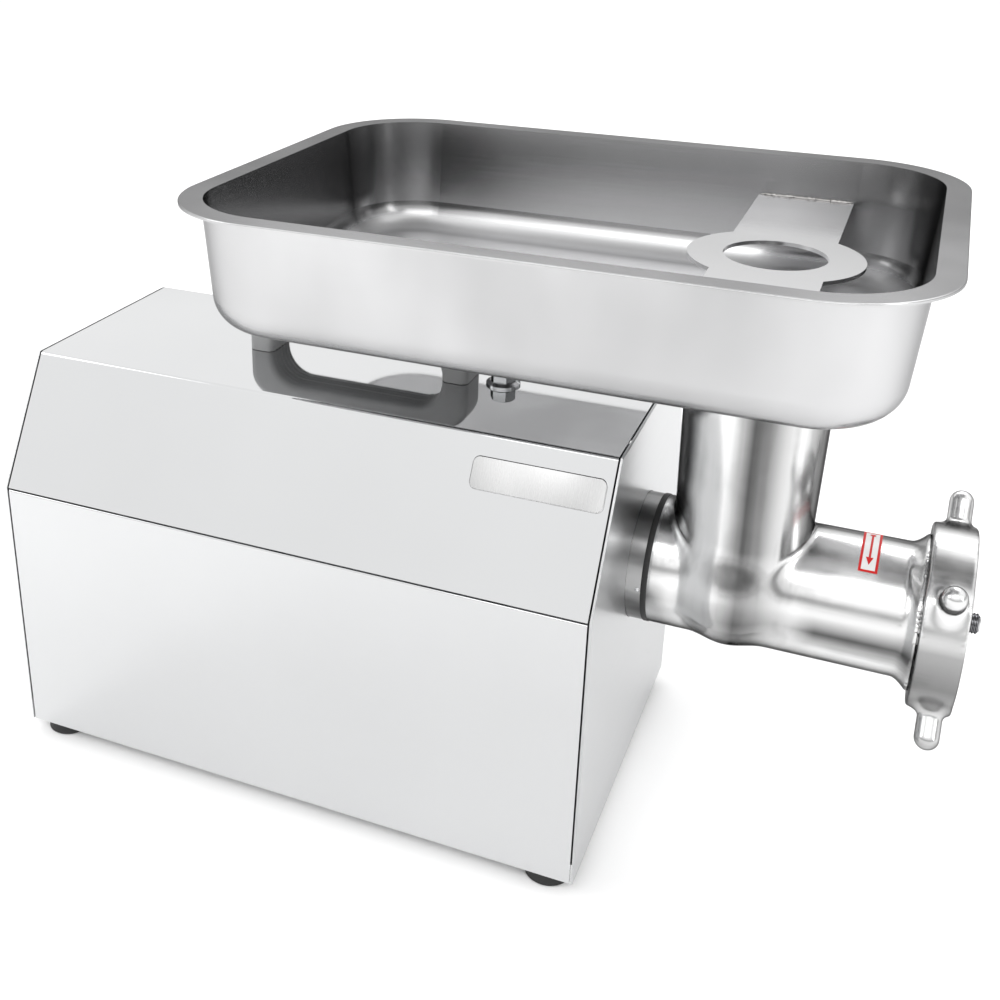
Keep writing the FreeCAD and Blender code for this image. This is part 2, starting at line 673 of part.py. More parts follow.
def motor_tie_bolts():
    solids = []
    for i in range(4):
        angle = math.radians(45 + 90 * i)
        centre = (MOTOR_YZ[0] + 57.0 * math.cos(angle), MOTOR_YZ[1] + 57.0 * math.sin(angle))
        rod = rod_x(REAR_BELL_X[0] - 2, FRONT_BELL_X[1] + 2, 2.5, centre)
        heads = [hexagon_x(centre[0], centre[1], REAR_BELL_X[0] - 5, REAR_BELL_X[0] - 1, 8),
                 hexagon_x(centre[0], centre[1], FRONT_BELL_X[1] + 1, FRONT_BELL_X[1] + 5, 8)]
        solids.append(fuse([rod] + heads))
    return Part.makeCompound(solids)


def run_capacitor():
    can = rod_x(-245, -175, 20, (-70, 45))
    can = can.makeFillet(2.0, edges_where(can, lambda e: e.BoundBox.XLength < 0.01))
    tabs = [box(-175.5, -167, -78, -71, 44.6, 45.4), box(-175.5, -167, -69, -62, 44.6, 45.4)]
    return fuse([can] + tabs)


def capacitor_clip():
    floor = FOOT_HEIGHT + SHEET + 0.05
    band = tube_x(-218, -202, 22, 20.05, (-70, 45))
    stand = box(-218, -202, -80, -60, floor, 24.5)
    stand = stand.cut(rod_x(-220, -200, 20.05, (-70, 45)))
    return band.fuse(stand).removeSplitter()


# ---------------------------------------------------------------- gearbox
COUNTER_BEARING = 17.5
REAR_BEARING = 21.0
FRONT_BEARING = 27.5
SEAL_RADIUS = 21.0


def gearbox_cover():
    plate = gearbox_outline(COVER_REAR, COVER_FRONT, WALL)
    cuts = [rod_x(COVER_REAR - 1, COVER_FRONT + 1, 12.0, MOTOR_YZ),
            rod_x(COVER_FRONT - 8, COVER_FRONT + 1, COUNTER_BEARING + 0.02, COUNTER_YZ),
            rod_x(COVER_FRONT - 8, COVER_FRONT + 1, REAR_BEARING + 0.02, OUTPUT_YZ)]
    for place in gearbox_bolt_places():
        cuts.append(rod_x(COVER_REAR - 1, COVER_FRONT + 1, 2.2, place))
    return plate.cut(Part.makeCompound(cuts)).removeSplitter()


def gearbox_housing():
    outside = gearbox_outline(COVER_FRONT, FRONT_WALL[1], WALL)
    hollow = gearbox_outline(COVER_FRONT - 1, FRONT_WALL[0], 0)
    nose = rod_x(FRONT_WALL[1] - 1, NOSE_END, 33.0)
    flange = rod_x(NOSE_END - 7, NOSE_END, 47.0)
    post = rod_z(COVER_BOLT_X, 0, OUTPUT_YZ[1] + 43, TOP_Z - SHEET - 0.05, 8.0)
    post = post.cut(box(-20, COVER_FRONT, -20, 20, 0, TOP_Z))
    stand = box(12, 56, -34, 54, FOOT_HEIGHT + SHEET + 0.05, 22)
    legs = [box(12, 56, -34, -26, 20, 75), box(12, 56, 44, 52, 20, 95)]
    body = fuse([outside, nose, flange, post, stand] + legs)
    cuts = [hollow,
            rod_x(FRONT_WALL[0] - 1, FRONT_WALL[0] + 8, COUNTER_BEARING + 0.02, COUNTER_YZ),
            rod_x(FRONT_WALL[0] - 1, 75, FRONT_BEARING + 0.02),
            rod_x(74, NOSE_END + 1, SEAL_RADIUS + 0.02),
            rod_z(COVER_BOLT_X, 0, TOP_Z - 18, TOP_Z + 1, 4.02)]
    for place in gearbox_bolt_places():
        cuts.append(rod_x(COVER_FRONT - 1, COVER_FRONT + 12, 2.05, place))
    for y, z in collar_bolt_places():
        cuts.append(rod_x(NOSE_END - 8, NOSE_END + 1, 2.55, (y, z)))
    for cut in cuts:
        body = body.cut(cut)
    return body.removeSplitter()


def gearbox_bolts():
    solids = []
    for y, z in gearbox_bolt_places():
        head = hexagon_x(y, z, COVER_REAR - 3, COVER_REAR - 0.02, 6.5)
        solids.append(head.fuse(rod_x(COVER_REAR - 0.02, COVER_FRONT + 10, 2.0, (y, z))))
    return Part.makeCompound(solids)


def gearbox_bearings():
    return Part.makeCompound([
        bearing(COVER_FRONT - 8, COVER_FRONT, COUNTER_RADIUS, COUNTER_BEARING, COUNTER_YZ),
        bearing(FRONT_WALL[0], FRONT_WALL[0] + 8, COUNTER_RADIUS, COUNTER_BEARING, COUNTER_YZ),
        bearing(COVER_FRONT - 8, COVER_FRONT, 10.0, REAR_BEARING, OUTPUT_YZ),
        bearing(62, 75, SHAFT_RADIUS, FRONT_BEARING, OUTPUT_YZ)])


def oil_seal():
    return tube_x(78, 85, SEAL_RADIUS, SHAFT_RADIUS + RUNNING)


def motor_pinion():
    return gear(STAGE_1["module"], STAGE_1["pinion"], STAGE_1_X[0], STAGE_1_X[1], MOTOR_YZ,
                COUNTER_TO_MOTOR + math.pi, MOTOR_SHAFT_RADIUS + 0.01)


def countershaft_gear():
    space = math.pi / STAGE_1["gear"]
    wheel = gear(STAGE_1["module"], STAGE_1["gear"], STAGE_1_X[0], STAGE_1_X[1], COUNTER_YZ,
                 COUNTER_TO_MOTOR + space, COUNTER_RADIUS + 1.5)
    return wheel.fuse(tube_x(STAGE_1_X[0], STAGE_1_X[1] + 3, 14, COUNTER_RADIUS + 1.5, COUNTER_YZ))


def countershaft_pinion():
    return gear(STAGE_2["module"], STAGE_2["pinion"], STAGE_2_X[0] - 2, STAGE_2_X[1] + 1, COUNTER_YZ,
                COUNTER_TO_OUTPUT, COUNTER_RADIUS + 0.01)


def countershaft():
    r = COUNTER_RADIUS
    return revolve_x([(COVER_FRONT - 7.5, 0), (COVER_FRONT - 7.5, r), (STAGE_1_X[0] - 0.5, r),
                      (STAGE_1_X[0] - 0.5, r + 1.49), (STAGE_2_X[0] - 2.5, r + 1.49), (STAGE_2_X[0] - 2.5, r),
                      (FRONT_WALL[0] + 7.5, r), (FRONT_WALL[0] + 7.5, 0)], COUNTER_YZ)


def output_gear():
    space = math.pi / STAGE_2["gear"]
    wheel = gear(STAGE_2["module"], STAGE_2["gear"], STAGE_2_X[0], STAGE_2_X[1], OUTPUT_YZ,
                 COUNTER_TO_OUTPUT + math.pi + space, SHAFT_RADIUS + 0.01)
    pockets = [tube_x(STAGE_2_X[0] - 1, STAGE_2_X[0] + 6, 29, 21), tube_x(STAGE_2_X[1] - 6, STAGE_2_X[1] + 1, 29, 21)]
    return wheel.cut(pockets[0]).cut(pockets[1])


SOCKET_SIZE = 12.3
TANG_SIZE = 12.0
SHAFT_END = 100.0


def output_shaft():
    shaft = revolve_x([(COVER_FRONT - 7.5, 0), (COVER_FRONT - 7.5, 10), (COVER_FRONT + 1, 10), (COVER_FRONT + 1, 13),
                       (STAGE_2_X[0] - 3, 13), (STAGE_2_X[0] - 3, 18), (STAGE_2_X[0] - 0.1, 18),
                       (STAGE_2_X[0] - 0.1, SHAFT_RADIUS), (SHAFT_END - 1, SHAFT_RADIUS),
                       (SHAFT_END, SHAFT_RADIUS - 1), (SHAFT_END, 0)])
    return shaft.cut(square_x(SHAFT_END - 17, SHAFT_END + 1, SOCKET_SIZE))


# ---------------------------------------------------------------- collar that carries the head
def collar_bolt_places():
    return [(OUTPUT_YZ[0] + 41.5 * math.cos(math.radians(45 + 90 * i)),
             OUTPUT_YZ[1] + 41.5 * math.sin(math.radians(45 + 90 * i))) for i in range(4)]


HEAD_SPIGOT = 29.0
LOCK_X = 100.0
LOCK_HOLE = 2.6


def head_collar():
    flange = rod_x(NOSE_END + 0.02, NOSE_END + 4, 47.0)
    ring = rod_x(NOSE_END + 0.02, COLLAR_END, BARREL_RADIUS)
    collar = flange.fuse(ring)
    edge = edges_where(collar, lambda e: e.BoundBox.XMin > COLLAR_END - 0.01)
    collar = collar.makeFillet(0.8, edge)
    collar = collar.cut(rod_x(NOSE_END - 1, COLLAR_END + 1, HEAD_SPIGOT + 0.05))
    collar = collar.cut(rod_y(LOCK_X, AXIS_Z, 20, 50, LOCK_HOLE))
    collar = collar.cut(rod_x(COLLAR_END - 9, COLLAR_END + 1, 1.5, pin_place()))
    for y, z in collar_bolt_places():
        collar = collar.cut(rod_x(NOSE_END - 1, NOSE_END + 8, 2.7, (y, z)))
    return collar.removeSplitter()


def collar_bolts():
    solids = []
    for y, z in collar_bolt_places():
        head = rod_x(NOSE_END + 4.02, NOSE_END + 5.6, 4.2, (y, z))
        solids.append(head.fuse(rod_x(NOSE_END - 6.5, NOSE_END + 4.02, 2.5, (y, z))))
    return Part.makeCompound(solids)


PIN_ANGLE = math.radians(195)


def pin_place():
    return (33.6 * math.cos(PIN_ANGLE), AXIS_Z + 33.6 * math.sin(PIN_ANGLE))


def locating_pin():
    return rod_x(COLLAR_END - 8, COLLAR_END + 3, 1.45, pin_place())


def head_lock_screw():
    """Knurled screw that reaches through the collar to hold the head's spigot."""
    shank = rod_y(LOCK_X, AXIS_Z, HEAD_SPIGOT + 0.35, 38, LOCK_HOLE - 0.1)
    head = rod_y(LOCK_X, AXIS_Z, 37.5, 53, 4.2)
    head = head.makeChamfer(0.6, edges_where(head, lambda e: e.BoundBox.YLength < 0.01))
    ribs = []
    for i in range(18):
        angle = math.radians(20 * i)
        ribs.append(rod_y(LOCK_X + 4.5 * math.cos(angle), AXIS_Z + 4.5 * math.sin(angle), 39, 51.5, 0.5))
    head = head.cut(Part.makeCompound(ribs))
    return shank.fuse(head)


# ---------------------------------------------------------------- cast head
def head_casting():
    barrel = revolve_x([(COLLAR_END + 0.02, 0), (COLLAR_END + 0.02, BARREL_RADIUS - 0.8),
                        (COLLAR_END + 0.8, BARREL_RADIUS), (FLARE_START, BARREL_RADIUS),
                        (NUT_REAR - 0.8, 42.8), (NUT_REAR - 0.3, 42.8), (NUT_REAR - 0.3, THREAD_RADIUS),
                        (BARREL_END - 1, THREAD_RADIUS), (BARREL_END, THREAD_RADIUS - 1), (BARREL_END, 0)])
    spigot = rod_x(92.5, COLLAR_END + 1, HEAD_SPIGOT)
    neck = Part.makeCone(NECK_RADIUS, NECK_TOP_RADIUS, NECK_TOP - AXIS_Z, V(NECK_X, 0, AXIS_Z), Z_DIR)
    body = fuse([barrel, neck])
    joins = edges_where(body, is_neck_join)
    body = body.makeFillet(5.0, joins)
    body = body.fuse(egg(BULB_HALF, V(NECK_X, 0, BULB_MIDDLE_Z))).fuse(spigot)
    cuts = [rod_x(118, 241, BARREL_BORE),
            rod_x(240, BARREL_END + 1, MOUTH_BORE),
            rod_x(100, 120, BUSH_RADIUS + 0.02),
            rod_x(90, 102, SHAFT_RADIUS + 2),
            rod_z(NECK_X, 0, AXIS_Z, NECK_TOP + 1, FEED_BORE),
            rod_z(NECK_X, 0, NECK_TOP - 21.5, NECK_TOP + 1, SPIGOT_RADIUS + 0.3),
            rod_x(COLLAR_END - 1, COLLAR_END + 4, 1.7, pin_place())]
    for cut in cuts:
        body = body.cut(cut)
    key = box(250.2, BARREL_END, -2, 2, AXIS_Z - MOUTH_BORE - 0.5, AXIS_Z - MOUTH_BORE + 2.2)
    return body.fuse(key).removeSplitter()


def is_neck_join(edge):
    """True for the edges where the neck runs into the top of the barrel."""
    bounds = edge.BoundBox
    near = bounds.XMin > NECK_X - 45 and bounds.XMax < NECK_X + 45
    level = bounds.ZMin > AXIS_Z and bounds.ZMax < AXIS_Z + BARREL_RADIUS + 1
    curved = bounds.YLength > 1 and bounds.ZLength > 1 and bounds.XLength > 1
    return near and level and curved


BUSH_RADIUS = 14.0
AUGER_SHAFT = 11.0
AUGER_CORE = 11.0
AUGER_RADIUS = 27.2
AUGER_PITCH = 34.0
KNIFE_X = (243.8, 249.8)
KNIFE_SQUARE = 10.0
PLATE_X = (250.2, 258.4)


def auger_bush():
    return tube_x(102, 118, BUSH_RADIUS, AUGER_SHAFT + RUNNING)


def auger():
    """Feed screw with a square tang behind, a square for the knife and a stud in front."""
    start, length = 126.0, 108.0
    core = revolve_x([(102, 0), (102, AUGER_SHAFT), (118.2, AUGER_SHAFT), (118.2, 17), (121.5, 17),
                      (121.5, AUGER_CORE), (KNIFE_X[0] - 0.2, AUGER_CORE), (KNIFE_X[0] - 0.2, 0)])
    tang = square_x(SHAFT_END - 14, 102.5, TANG_SIZE)
    square = square_x(KNIFE_X[0] - 0.5, KNIFE_X[1] - 0.2, KNIFE_SQUARE)
    stud = rod_x(KNIFE_X[1] - 1, STUD_TIP, 4.5)
    stud = stud.makeChamfer(0.8, edges_where(stud, lambda e: e.BoundBox.XMin > STUD_TIP - 0.01))
    slot = box(STUD_TIP - 2.5, STUD_TIP + 1, -0.8, 0.8, AXIS_Z - 6, AXIS_Z + 6)
    helix = Part.makeHelix(AUGER_PITCH, length, AUGER_CORE - 1)
    profile = Part.makePolygon([V(AUGER_CORE - 1.5, 0, -4), V(AUGER_RADIUS, 0, -2), V(AUGER_RADIUS, 0, 2),
                                V(AUGER_CORE - 1.5, 0, 4), V(AUGER_CORE - 1.5, 0, -4)])
    flight = Part.Wire(helix.Edges).makePipeShell([profile], True, True)
    flight.rotate(V(0, 0, 0), Y_DIR, 90)
    flight.translate(V(start, 0, AXIS_Z))
    body = core.fuse(flight)
    for piece in (tang, square, stud):
        body = body.fuse(piece)
    return body.cut(slot).removeSplitter()


def cutter_knife():
    hub = rod_x(KNIFE_X[0], KNIFE_X[1], 12.5)
    arms = []
    for i in range(4):
        arm = prism_x([(-6, 6), (6, 6), (4.5, 33.5), (-2.5, 33.5)], KNIFE_X[0], KNIFE_X[1])
        arm.rotate(V(0, 0, 0), X_DIR, 90 * i)
        arm.translate(V(0, 0, AXIS_Z))
        arms.append(arm)
    knife = fuse([hub] + arms)
    return knife.cut(square_x(KNIFE_X[0] - 1, KNIFE_X[1] + 1, KNIFE_SQUARE + 0.3))


def grinder_plate():
    plate = rod_x(PLATE_X[0], PLATE_X[1], MOUTH_BORE - 0.3)
    cuts = [rod_x(PLATE_X[0] - 1, PLATE_X[1] + 1, 4.6)]
    for radius, count in ((11.5, 6), (20.0, 12), (28.5, 18)):
        for i in range(count):
            angle = 2 * math.pi * i / count
            centre = (radius * math.cos(angle), AXIS_Z + radius * math.sin(angle))
            cuts.append(rod_x(PLATE_X[0] - 1, PLATE_X[1] + 1, 2.6, centre))
    cuts.append(box(PLATE_X[0] - 1, PLATE_X[1] + 1, -2.3, 2.3, AXIS_Z - MOUTH_BORE - 1, AXIS_Z - MOUTH_BORE + 2.6))
    return plate.cut(Part.makeCompound(cuts))


def ring_nut():
    body = revolve_x([(NUT_REAR, 43.5), (NUT_REAR, NUT_RADIUS), (NUT_FRONT, NUT_RADIUS), (NUT_FRONT, 34),
                      (NUT_FRONT - 3, 31.0), (PLATE_X[1] + 0.1, 31.0), (PLATE_X[1] + 0.1, THREAD_RADIUS + 0.25),
                      (NUT_REAR + 2.2, THREAD_RADIUS + 0.25)])
    pieces = [body]
    for angle in PEG_ANGLES:
        pieces.append(nut_peg(PEG_X, angle))
    nut = fuse(pieces)
    return nut.cut(rod_x(NUT_REAR - 1, NUT_REAR + 8, THREAD_RADIUS + 0.25))


def nut_peg(x, angle):
    """Cast peg with a swelling foot and a domed end, standing out of the nut's rim."""
    radial = V(0, -math.cos(math.radians(angle)), math.sin(math.radians(angle)))
    foot = V(x, 0, AXIS_Z) + radial * (THREAD_RADIUS + 3)
    stem = Part.makeCylinder(PEG_RADIUS, PEG_TIP_RADIUS - PEG_RADIUS - THREAD_RADIUS - 3, foot, radial)
    dome = Part.makeSphere(PEG_RADIUS, V(x, 0, AXIS_Z) + radial * (PEG_TIP_RADIUS - PEG_RADIUS))
    swell = Part.makeCone(9.0, PEG_RADIUS, 9, foot, radial)
    return fuse([stem, dome, swell])


# ---------------------------------------------------------------- feed tray
def tray_block(thickness):
    """Solid that fills the tray's outside (thickness 0) or its inside (thickness SHEET)."""
    top_x = TRAY_HALF_X - TRAY_LIP - thickness
    top_y = TRAY_HALF_Y - TRAY_LIP - thickness
    corner = TRAY_CORNER - TRAY_LIP - thickness
    floor = TRAY_FLOOR + thickness
    top = TRAY_TOP + (1.0 if thickness else 0.0)
    fall = (top - floor) * TRAY_DRAFT
    upper = rounded_rectangle(TRAY_X, 0, top, top_x, top_y, corner)
    lower = rounded_rectangle(TRAY_X, 0, floor, top_x - fall, top_y - fall, corner - fall)
    block = Part.makeLoft([lower, upper], True, True)
    rim = edges_where(block, lambda e: e.BoundBox.ZMax < floor + 0.01)
    return block.makeFillet(TRAY_FLOOR_RADIUS - thickness, rim)


def tray_pan():
    lip = rounded_plate(TRAY_X, 0, TRAY_TOP - 1.5, TRAY_TOP, TRAY_HALF_X, TRAY_HALF_Y, TRAY_CORNER)
    lip = lip.makeFillet(0.6, edges_where(lip, lambda e: e.BoundBox.ZMin > TRAY_TOP - 0.01))
    pan = tray_block(0.0).fuse(lip).cut(tray_block(SHEET))
    return pan.cut(rod_z(NECK_X, 0, TRAY_FLOOR - 1, TRAY_FLOOR + 5, SPIGOT_RADIUS + 0.02)).removeSplitter()


def tray_spigot():
    """Short tube under the tray that drops into the neck, with a rim on the tray's floor."""
    floor = TRAY_FLOOR + SHEET
    return revolve_z([(NECK_TOP - 20, SPIGOT_RADIUS - 2), (NECK_TOP - 20, SPIGOT_RADIUS), (floor + 0.02, SPIGOT_RADIUS),
                      (floor + 0.02, SPIGOT_RADIUS + 2), (floor + 1, SPIGOT_RADIUS + 2), (floor + 1, SPIGOT_RADIUS - 2)],
                     NECK_X, 0)


def feed_guard():
    """Bridge across the tray with the round feed opening, welded to both side walls."""
    upper = GUARD_Z + GUARD_THICKNESS
    reach = TRAY_HALF_Y - TRAY_LIP - SHEET - (TRAY_TOP - GUARD_Z) * TRAY_DRAFT - 0.2
    strip = box(NECK_X - GUARD_HALF_X, NECK_X + GUARD_HALF_X, -reach, reach, GUARD_Z, upper)
    disc = rod_z(NECK_X, 0, GUARD_Z, upper, GUARD_DISC)
    return strip.fuse(disc).removeSplitter().cut(rod_z(NECK_X, 0, GUARD_Z - 1, upper + 1, FEED_BORE))


# ---------------------------------------------------------------- build
NODES = {
    "base_plate": base_plate,
    "feet": feet,
    "foot_screws": foot_screws,
    "side_panel_right": lambda: side_panel(-1),
    "side_panel_left": lambda: side_panel(1),
    "upper_cover": upper_cover,
    "end_panel_front": end_panel_front,
    "end_panel_rear": end_panel_rear,
    "rear_screws": rear_screws,
    "rear_screw_nuts": rear_screw_nuts,
    "nameplate": nameplate,
    "carry_handle": carry_handle,
    "handle_screws": handle_screws,
    "cover_bolt": cover_bolt,
    "cable_gland": cable_gland,
    "gland_nut": gland_nut,
    "switch_box": switch_box,
    "start_button": lambda: button(1),
    "stop_button": lambda: button(-1),
    "motor_stator": motor_stator,
    "stator_windings": stator_windings,
    "motor_rear_bell": motor_rear_bell,
    "motor_front_bell": motor_front_bell,
    "motor_bearings": motor_bearings,
    "motor_cradle": motor_cradle,
    "motor_tie_bolts": motor_tie_bolts,
    "run_capacitor": run_capacitor,
    "capacitor_clip": capacitor_clip,
    "motor_shaft": motor_shaft,
    "rotor_core": rotor_core,
    "motor_pinion": motor_pinion,
    "cooling_fan": cooling_fan,
    "gearbox_housing": gearbox_housing,
    "gearbox_cover": gearbox_cover,
    "gearbox_bolts": gearbox_bolts,
    "gearbox_bearings": gearbox_bearings,
    "oil_seal": oil_seal,
    "countershaft": countershaft,
    "countershaft_gear": countershaft_gear,
    "countershaft_pinion": countershaft_pinion,
    "output_gear": output_gear,
    "output_shaft": output_shaft,
    "head_collar": head_collar,
    "collar_bolts": collar_bolts,
    "locating_pin": locating_pin,
    "head_lock_screw": head_lock_screw,
    "head_casting": head_casting,
    "auger_bush": auger_bush,
    "auger": auger,
    "cutter_knife": cutter_knife,
    "grinder_plate": grinder_plate,
    "ring_nut": ring_nut,
    "tray_pan": tray_pan,
    "tray_spigot": tray_spigot,
    "feed_guard": feed_guard,
}

os.makedirs("parts", exist_ok=True)
for name, make in NODES.items():
    shape = make()
    bounds = shape.BoundBox
    print(f"{name:20} valid={shape.isValid()} solids={len(shape.Solids)} volume={shape.Volume / 1000:9.2f} cm3 "
          f"x {bounds.XMin:7.1f} {bounds.XMax:7.1f} y {bounds.YMin:7.1f} {bounds.YMax:7.1f} "
          f"z {bounds.ZMin:7.1f} {bounds.ZMax:7.1f}")
    shape.exportStep(f"parts/{name}.step")
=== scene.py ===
import itertools
import math

import bmesh
import bpy
import numpy as np
from mathutils import Matrix, Vector


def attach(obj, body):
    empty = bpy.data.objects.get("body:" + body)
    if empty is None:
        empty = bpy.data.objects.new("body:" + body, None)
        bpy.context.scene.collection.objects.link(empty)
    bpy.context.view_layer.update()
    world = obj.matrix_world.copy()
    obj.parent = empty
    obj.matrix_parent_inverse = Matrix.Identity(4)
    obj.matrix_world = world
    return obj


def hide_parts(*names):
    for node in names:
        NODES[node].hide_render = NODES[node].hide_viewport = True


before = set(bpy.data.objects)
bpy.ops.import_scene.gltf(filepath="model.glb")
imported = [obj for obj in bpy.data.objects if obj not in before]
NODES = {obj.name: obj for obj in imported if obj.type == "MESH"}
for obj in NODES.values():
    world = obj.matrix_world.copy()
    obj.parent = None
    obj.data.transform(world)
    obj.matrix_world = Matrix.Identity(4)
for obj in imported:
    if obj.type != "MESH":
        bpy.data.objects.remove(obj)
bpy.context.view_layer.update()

TAU = 2 * math.pi
MM = 0.001
AXIS_Z = 157.0           # auger and barrel axis, in mm
BARREL_RADIUS = 36.4
NECK_X = 149.5           # neck axis


# ---------------------------------------------------------------- camera
def make_camera():
    """Camera placed to match the reference view, for a frame of 1000 by 1000."""
    place = Vector((0.2184, -0.6412, 0.5298))
    azimuth = math.radians(22.72)
    elevation = math.radians(21.68)
    roll = math.radians(0.64)
    forward = Vector((-math.sin(azimuth) * math.cos(elevation),
                      math.cos(azimuth) * math.cos(elevation),
                      -math.sin(elevation)))
    right = forward.cross(Vector((0, 0, 1))).normalized()
    up = right.cross(forward)
    right_rolled = right * math.cos(roll) + up * math.sin(roll)
    up_rolled = up * math.cos(roll) - right * math.sin(roll)
    data = bpy.data.cameras.new("camera")
    data.sensor_width = 36.0
    data.lens = 45.86
    data.shift_x = 0.09
    data.shift_y = -0.1416
    data.clip_start = 0.01
    data.clip_end = 100.0
    camera = bpy.data.objects.new("camera", data)
    bpy.context.scene.collection.objects.link(camera)
    basis = Matrix((right_rolled, up_rolled, -forward)).transposed()
    camera.matrix_world = Matrix.Translation(place) @ basis.to_4x4()
    bpy.context.scene.camera = camera


# ---------------------------------------------------------------- material helpers
def grey(value):
    return (value, value, value, 1)


def scaled(colour, factor):
    return tuple(channel * factor for channel in colour)


def tinted(colour, factor):
    return scaled(colour, factor) + (1,)


def fill_ramp(ramp, stops):
    """Give a colour ramp its stops of (position, grey or colour)."""
    while len(ramp.elements) < len(stops):
        ramp.elements.new(0.5)
    for element, (position, value) in zip(ramp.elements, stops):
        element.position = position
        element.color = grey(value) if isinstance(value, float) else (*value, 1)


class Nodes:
    """Short calls for building one material's node tree."""

    def __init__(self, name):
        self.material = bpy.data.materials.new(name)
        self.material.use_nodes = True
        self.tree = self.material.node_tree
        self.shader = self.tree.nodes["Principled BSDF"]
        coordinates = self.add("ShaderNodeTexCoord")
        self.place = coordinates.outputs["Object"]
        self.normal = coordinates.outputs["Normal"]

    def add(self, kind, **settings):
        """New node; a setting is the name of one of its inputs, or else of a property."""
        node = self.tree.nodes.new(kind)
        for key, value in settings.items():
            if key in node.inputs:
                node.inputs[key].default_value = value
            else:
                setattr(node, key, value)
        return node

    def link(self, source, target):
        self.tree.links.new(source, target)

    def put(self, value, socket):
        """Link an output to the socket, or store a plain value in it."""
        if hasattr(value, "links"):
            self.link(value, socket)
        else:
            socket.default_value = value

    def noise(self, scale, detail=2.0, roughness=0.5):
        """Noise over object coordinates, in metres, stretched by scale."""
        mapping = self.add("ShaderNodeMapping", Scale=scale)
        self.link(self.place, mapping.inputs["Vector"])
        node = self.add("ShaderNodeTexNoise", Scale=1.0, Detail=detail, Roughness=roughness)
        self.link(mapping.outputs["Vector"], node.inputs["Vector"])
        return node.outputs["Fac"]

    def ramp(self, source, stops):
        node = self.add("ShaderNodeValToRGB")
        fill_ramp(node.color_ramp, stops)
        self.link(source, node.inputs["Fac"])
        return node.outputs["Color"]

    def spread(self, source, low, high):
        """Map a 0 to 1 value to the range low to high."""
        node = self.add("ShaderNodeMapRange", **{"To Min": low, "To Max": high})
        self.link(source, node.inputs["Value"])
        return node.outputs["Result"]

    def share(self, source, zero, one):
        """0 where source is at zero and 1 where it is at one, held at both ends."""
        node = self.add("ShaderNodeMapRange", **{"From Min": zero, "From Max": one})
        self.link(source, node.inputs["Value"])
        return node.outputs["Result"]

    def mix(self, factor, first, second, blend="MIX"):
        node = self.add("ShaderNodeMix", data_type="RGBA", blend_type=blend)
        for value, index in ((factor, 0), (first, 6), (second, 7)):
            self.put(value, node.inputs[index])
        return node.outputs[2]

    def maths(self, operation, first, second=0.0, clamp=False):
        node = self.add("ShaderNodeMath", operation=operation, use_clamp=clamp)
        self.put(first, node.inputs[0])
        self.put(second, node.inputs[1])
        return node.outputs[0]

    def vector(self, operation, first, second):
        node = self.add("ShaderNodeVectorMath", operation=operation)
        self.put(first, node.inputs[0])
        self.put(second, node.inputs[1])
        return node.outputs["Value" if operation == "DOT_PRODUCT" else "Vector"]

    def parts(self, source):
        """The x, y and z of a vector."""
        node = self.add("ShaderNodeSeparateXYZ")
        self.link(source, node.inputs["Vector"])
        return [node.outputs[axis] for axis in "XYZ"]

    def bump(self, height, strength, distance, previous=None):
        node = self.add("ShaderNodeBump", Strength=strength, Distance=distance)
        self.link(height, node.inputs["Height"])
        if previous is not None:
            self.link(previous, node.inputs["Normal"])
        return node.outputs["Normal"]

    def set(self, **values):
        """Set inputs of the surface shader, named with _ for each space."""
        for key, value in values.items():
            self.put(value, self.shader.inputs[key.replace("_", " ")])


BRUSH_FINE = 2200.0      # noise cells to the metre across the brushing lines
BRUSH_COARSE = 14.0      # and along them
LINE_DEPTH = 0.00002     # depth of the brushing lines, in metres


def grain_scale(along):
    """Stretch for brushing lines that run along one axis."""
    return tuple(BRUSH_COARSE if axis == along else BRUSH_FINE for axis in "xyz")


def steel(name, colour, roughness, along="x", line=0.03, cloud=0.04, stain=0.05, wave=0.0):
    """Stainless sheet: fine lines along one axis, and a faint cloudiness in its gloss."""
    n = Nodes(name)
    lines = n.noise(grain_scale(along), detail=3.0, roughness=0.6)
    clouds = n.noise((7.0, 7.0, 7.0), detail=3.0)
    shade = n.mix(n.spread(clouds, 0.0, 1.0), tinted(colour, 1.0 - stain), tinted(colour, 1.0 + stain))
    streak = n.mix(n.spread(lines, 0.0, line * 4), shade, tinted(colour, 0.86))
    fine = n.spread(lines, roughness - line, roughness + line)
    wide = n.spread(clouds, -cloud, cloud)
    normal = n.bump(lines, 0.12, LINE_DEPTH)
    if wave:
        normal = n.bump(n.noise((11.0, 11.0, 11.0), detail=1.0), 1.0, wave, normal)
    n.set(Base_Color=streak, Metallic=1.0, Roughness=n.maths("ADD", fine, wide, clamp=True), Normal=normal)
    return n.material


EDGE_TINT = 0.06         # a metal's brightness where it is seen edge-on
TRAY_EDGE_TINT = 0.45
TRAY_MIDDLE = (0.0485, 0.0, 0.0)
# where each of the tray's painted tones (shade on the inner walls' ends, light on the floor) starts and is
# complete, in metres, and for FACES_UP as the normal's z
FACES_INWARD = (-0.01, -0.05)
NEAR_END = (0.09, 0.17)
FACES_UP = (0.45, 0.95)
BELOW_LIP = (0.355, 0.345)


